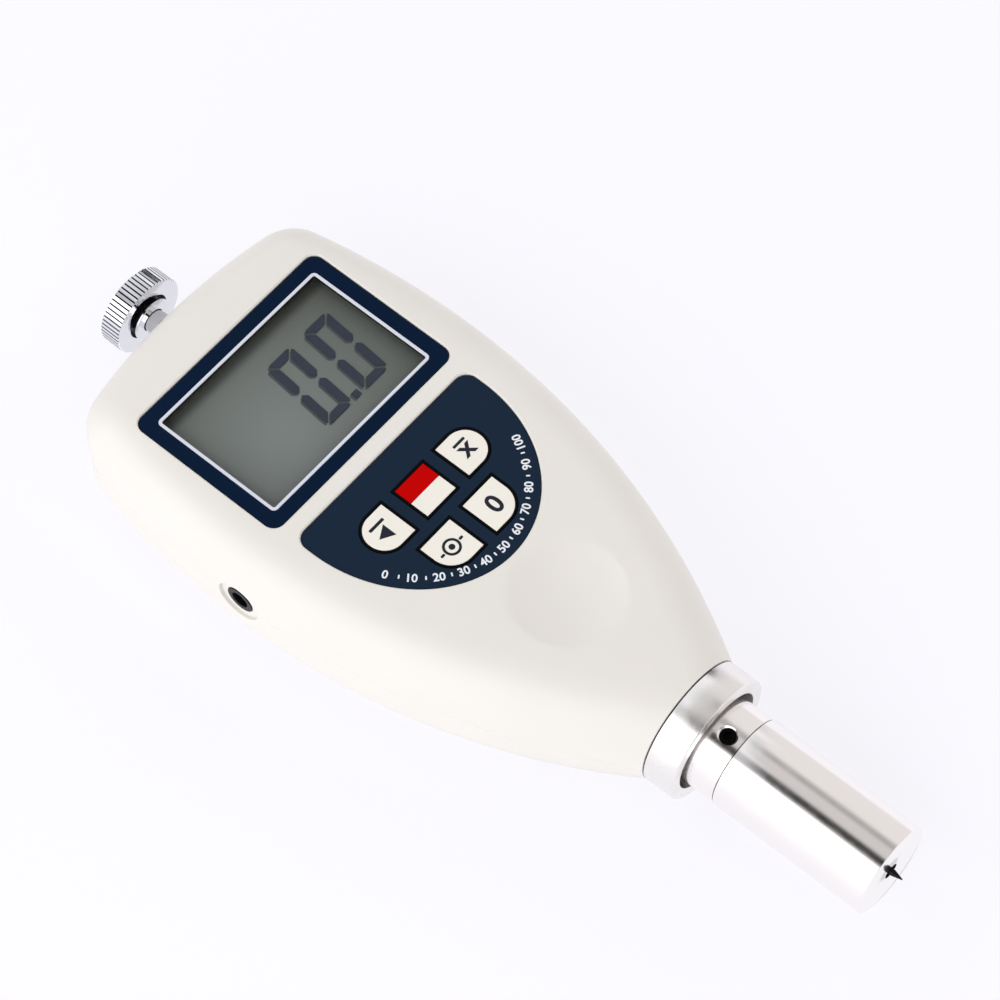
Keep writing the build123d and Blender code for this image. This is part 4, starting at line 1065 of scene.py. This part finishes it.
scale = bmesh.new()
for step in range(strokes + 1):
    turn = scale_start + (scale_end - scale_start) * step / strokes
    mark = bar(0, 0, 0.3, 0.8) if step % 2 else words(str(step * 5), 2.25, 0.05)
    bmesh.ops.transform(mark, matrix=on_edge(turn, edge_in), verts=mark.verts)
    join(scale, mark)
slab(scale, ink_low, ink_high)
piece("keypad_scale", scale, slot="key_pale", finish=ink_white)

# %% [markdown]
# The segments of a reflective display float a little above its foil, so light that passes them leaves a
# paler copy beside them. It is a flattened copy of the segments, moved aside by half a millimetre.

# %% Shadow of the segments
shadow = copied("lcd_segments")
foil_z = box("lcd_segments")[0].z
from_foil = Matrix.Translation((0, 0, -foil_z))
bmesh.ops.scale(shadow, vec=(1, 1, 0.2), space=from_foil, verts=shadow.verts)
move(shadow, -0.5, -0.15, 0)
piece("lcd_segment_shade", shadow, slot="lcd_dark", finish=lcd_shade)

# %% [markdown]
# ## Studio
# The instrument lies on its back on a white sheet that is lit from below. Long soft boxes stand to the
# left of it, above it and to the right. Only the left one is seen in the metal, as a bright band along
# the barrel: the other two give light but are kept out of mirrors, whose stripes come from the room.

# %% Floor and soft boxes
sheet = bmesh.new()
below = Matrix.Translation((0, 0, -0.05 * MM))
bmesh.ops.create_grid(sheet, x_segments=1, y_segments=1, size=3, matrix=below)
floor = put("floor", meshed(sheet, "floor"))
# Matt acrylic sheet lit from below: a cool white that hardly takes a shadow.
glow = {"Emission Color": colour("#fbfaff"), "Emission Strength": 0.73}
matt = {"Base Color": colour("#8a8a8e"), "Roughness": 0.9}
lit_sheet, _, _ = material("acrylic_sheet_lit_white", {**matt, **glow})
floor.data.materials.append(lit_sheet)


def soft_box(name, angle, distance, width, radiance, length=2.4, mirrored=True):
    """A long area light, facing the instrument, at an angle from straight above."""
    data = bpy.data.lights.new(name, "AREA")
    data.shape, data.size, data.size_y = "RECTANGLE", width, length
    data.energy = radiance * pi * width * length
    lamp = put(name, data)
    spot = Vector((sin(radians(angle)), 0, cos(radians(angle)))) * distance
    lamp.matrix_world = Matrix.Translation(spot) @ Matrix.Rotation(radians(angle), 4, "Y")
    lamp.visible_glossy = mirrored


soft_box("box_left", -60, 0.9, 1.0, 1.4)
soft_box("box_above", 4, 1.0, 0.44, 0.36, mirrored=False)
soft_box("box_right", 64, 1.0, 0.9, 0.5, mirrored=False)
print("soft boxes:", len(bpy.data.lights))

# %% [markdown]
# Polished metal looks like what stands round it, so the room has white walls and dark curtains along the
# instrument. A colour ramp gives their brightness by the angle from straight above. How far a direction
# points to the rear tells which piece mirrors it, so there are three sets: beside the case and barrel, at
# the neck of the knob, and behind its rim.

# %% White room with dark curtains
world = bpy.data.worlds.new("studio")
world.use_nodes = True
room = world.node_tree
room.nodes.clear()
way = add(room, "TexCoord").outputs["Generated"]
split = add(room, "SeparateXYZ", {"Vector": way}).outputs
lean = add(room, "Math", {0: split["X"], 1: split["Z"]}, operation="ARCTAN2")
share = ranged(room, lean.outputs["Value"], -pi, pi)


def curtain(tint, *stops):
    """A colour ramp with the room's brightness at each angle from straight above, and a tint."""
    ramp = add(room, "ValToRGB", {"Fac": share})
    marks = ramp.color_ramp.elements
    while len(marks) < len(stops):
        marks.new(0.5)
    for mark, (angle, bright) in zip(marks, stops):
        mark.position, mark.color = (angle + 180) / 360, [bright * part for part in tint] + [1]
    return ramp.outputs["Color"]


warm, cool = (1.0, 0.965, 0.95), (1.0, 1.0, 1.03)
beside = curtain(
    warm, (-29, 0.5), (-25, 0.0), (-13, 0.0), (-7, 0.64), (14, 0.64), (20, 0.4), (26, 0.4), (36, 0.82)
)
neck = curtain(cool, (-40, 1.2), (-6, 1.2), (0, 0.03), (44, 0.03), (50, 1.2))
behind = curtain(cool, (-40, 0.55), (-12, 0.6), (-6, 1.0), (64, 1.0), (70, 0.03), (92, 0.03), (98, 0.6))
light = beside
for curtains, near, far in ((neck, 0.4, 0.41), (behind, 0.4165, 0.4175)):
    light = mix(room, ranged(room, split["Y"], near, far), light, curtains)
sky = add(room, "Background", {"Color": light, "Strength": 1.0})
add(room, "OutputWorld", {"Surface": sky.outputs["Background"]})
bpy.context.scene.world = world

# %% [markdown]
# ## Camera
# The camera looks down from the lower left, from about 70 cm, with a long lens. Its place and turn were
# found by matching corners of the instrument with the photograph.

# %% Camera
camera_data = bpy.data.cameras.new("camera")
camera_data.lens, camera_data.sensor_width = 140.4, 36
camera = put("camera", camera_data)
right, up, backward = (0.6489, -0.7609, -0.0063), (0.664, 0.5622, 0.4931), (-0.3716, -0.3241, 0.87)
aim = Matrix((right, up, backward)).transposed().to_4x4()
camera.matrix_world = Matrix.Translation((-0.24818, -0.21657, 0.623785)) @ aim
bpy.context.scene.camera = camera
bpy.context.scene.view_settings.view_transform = "Standard"
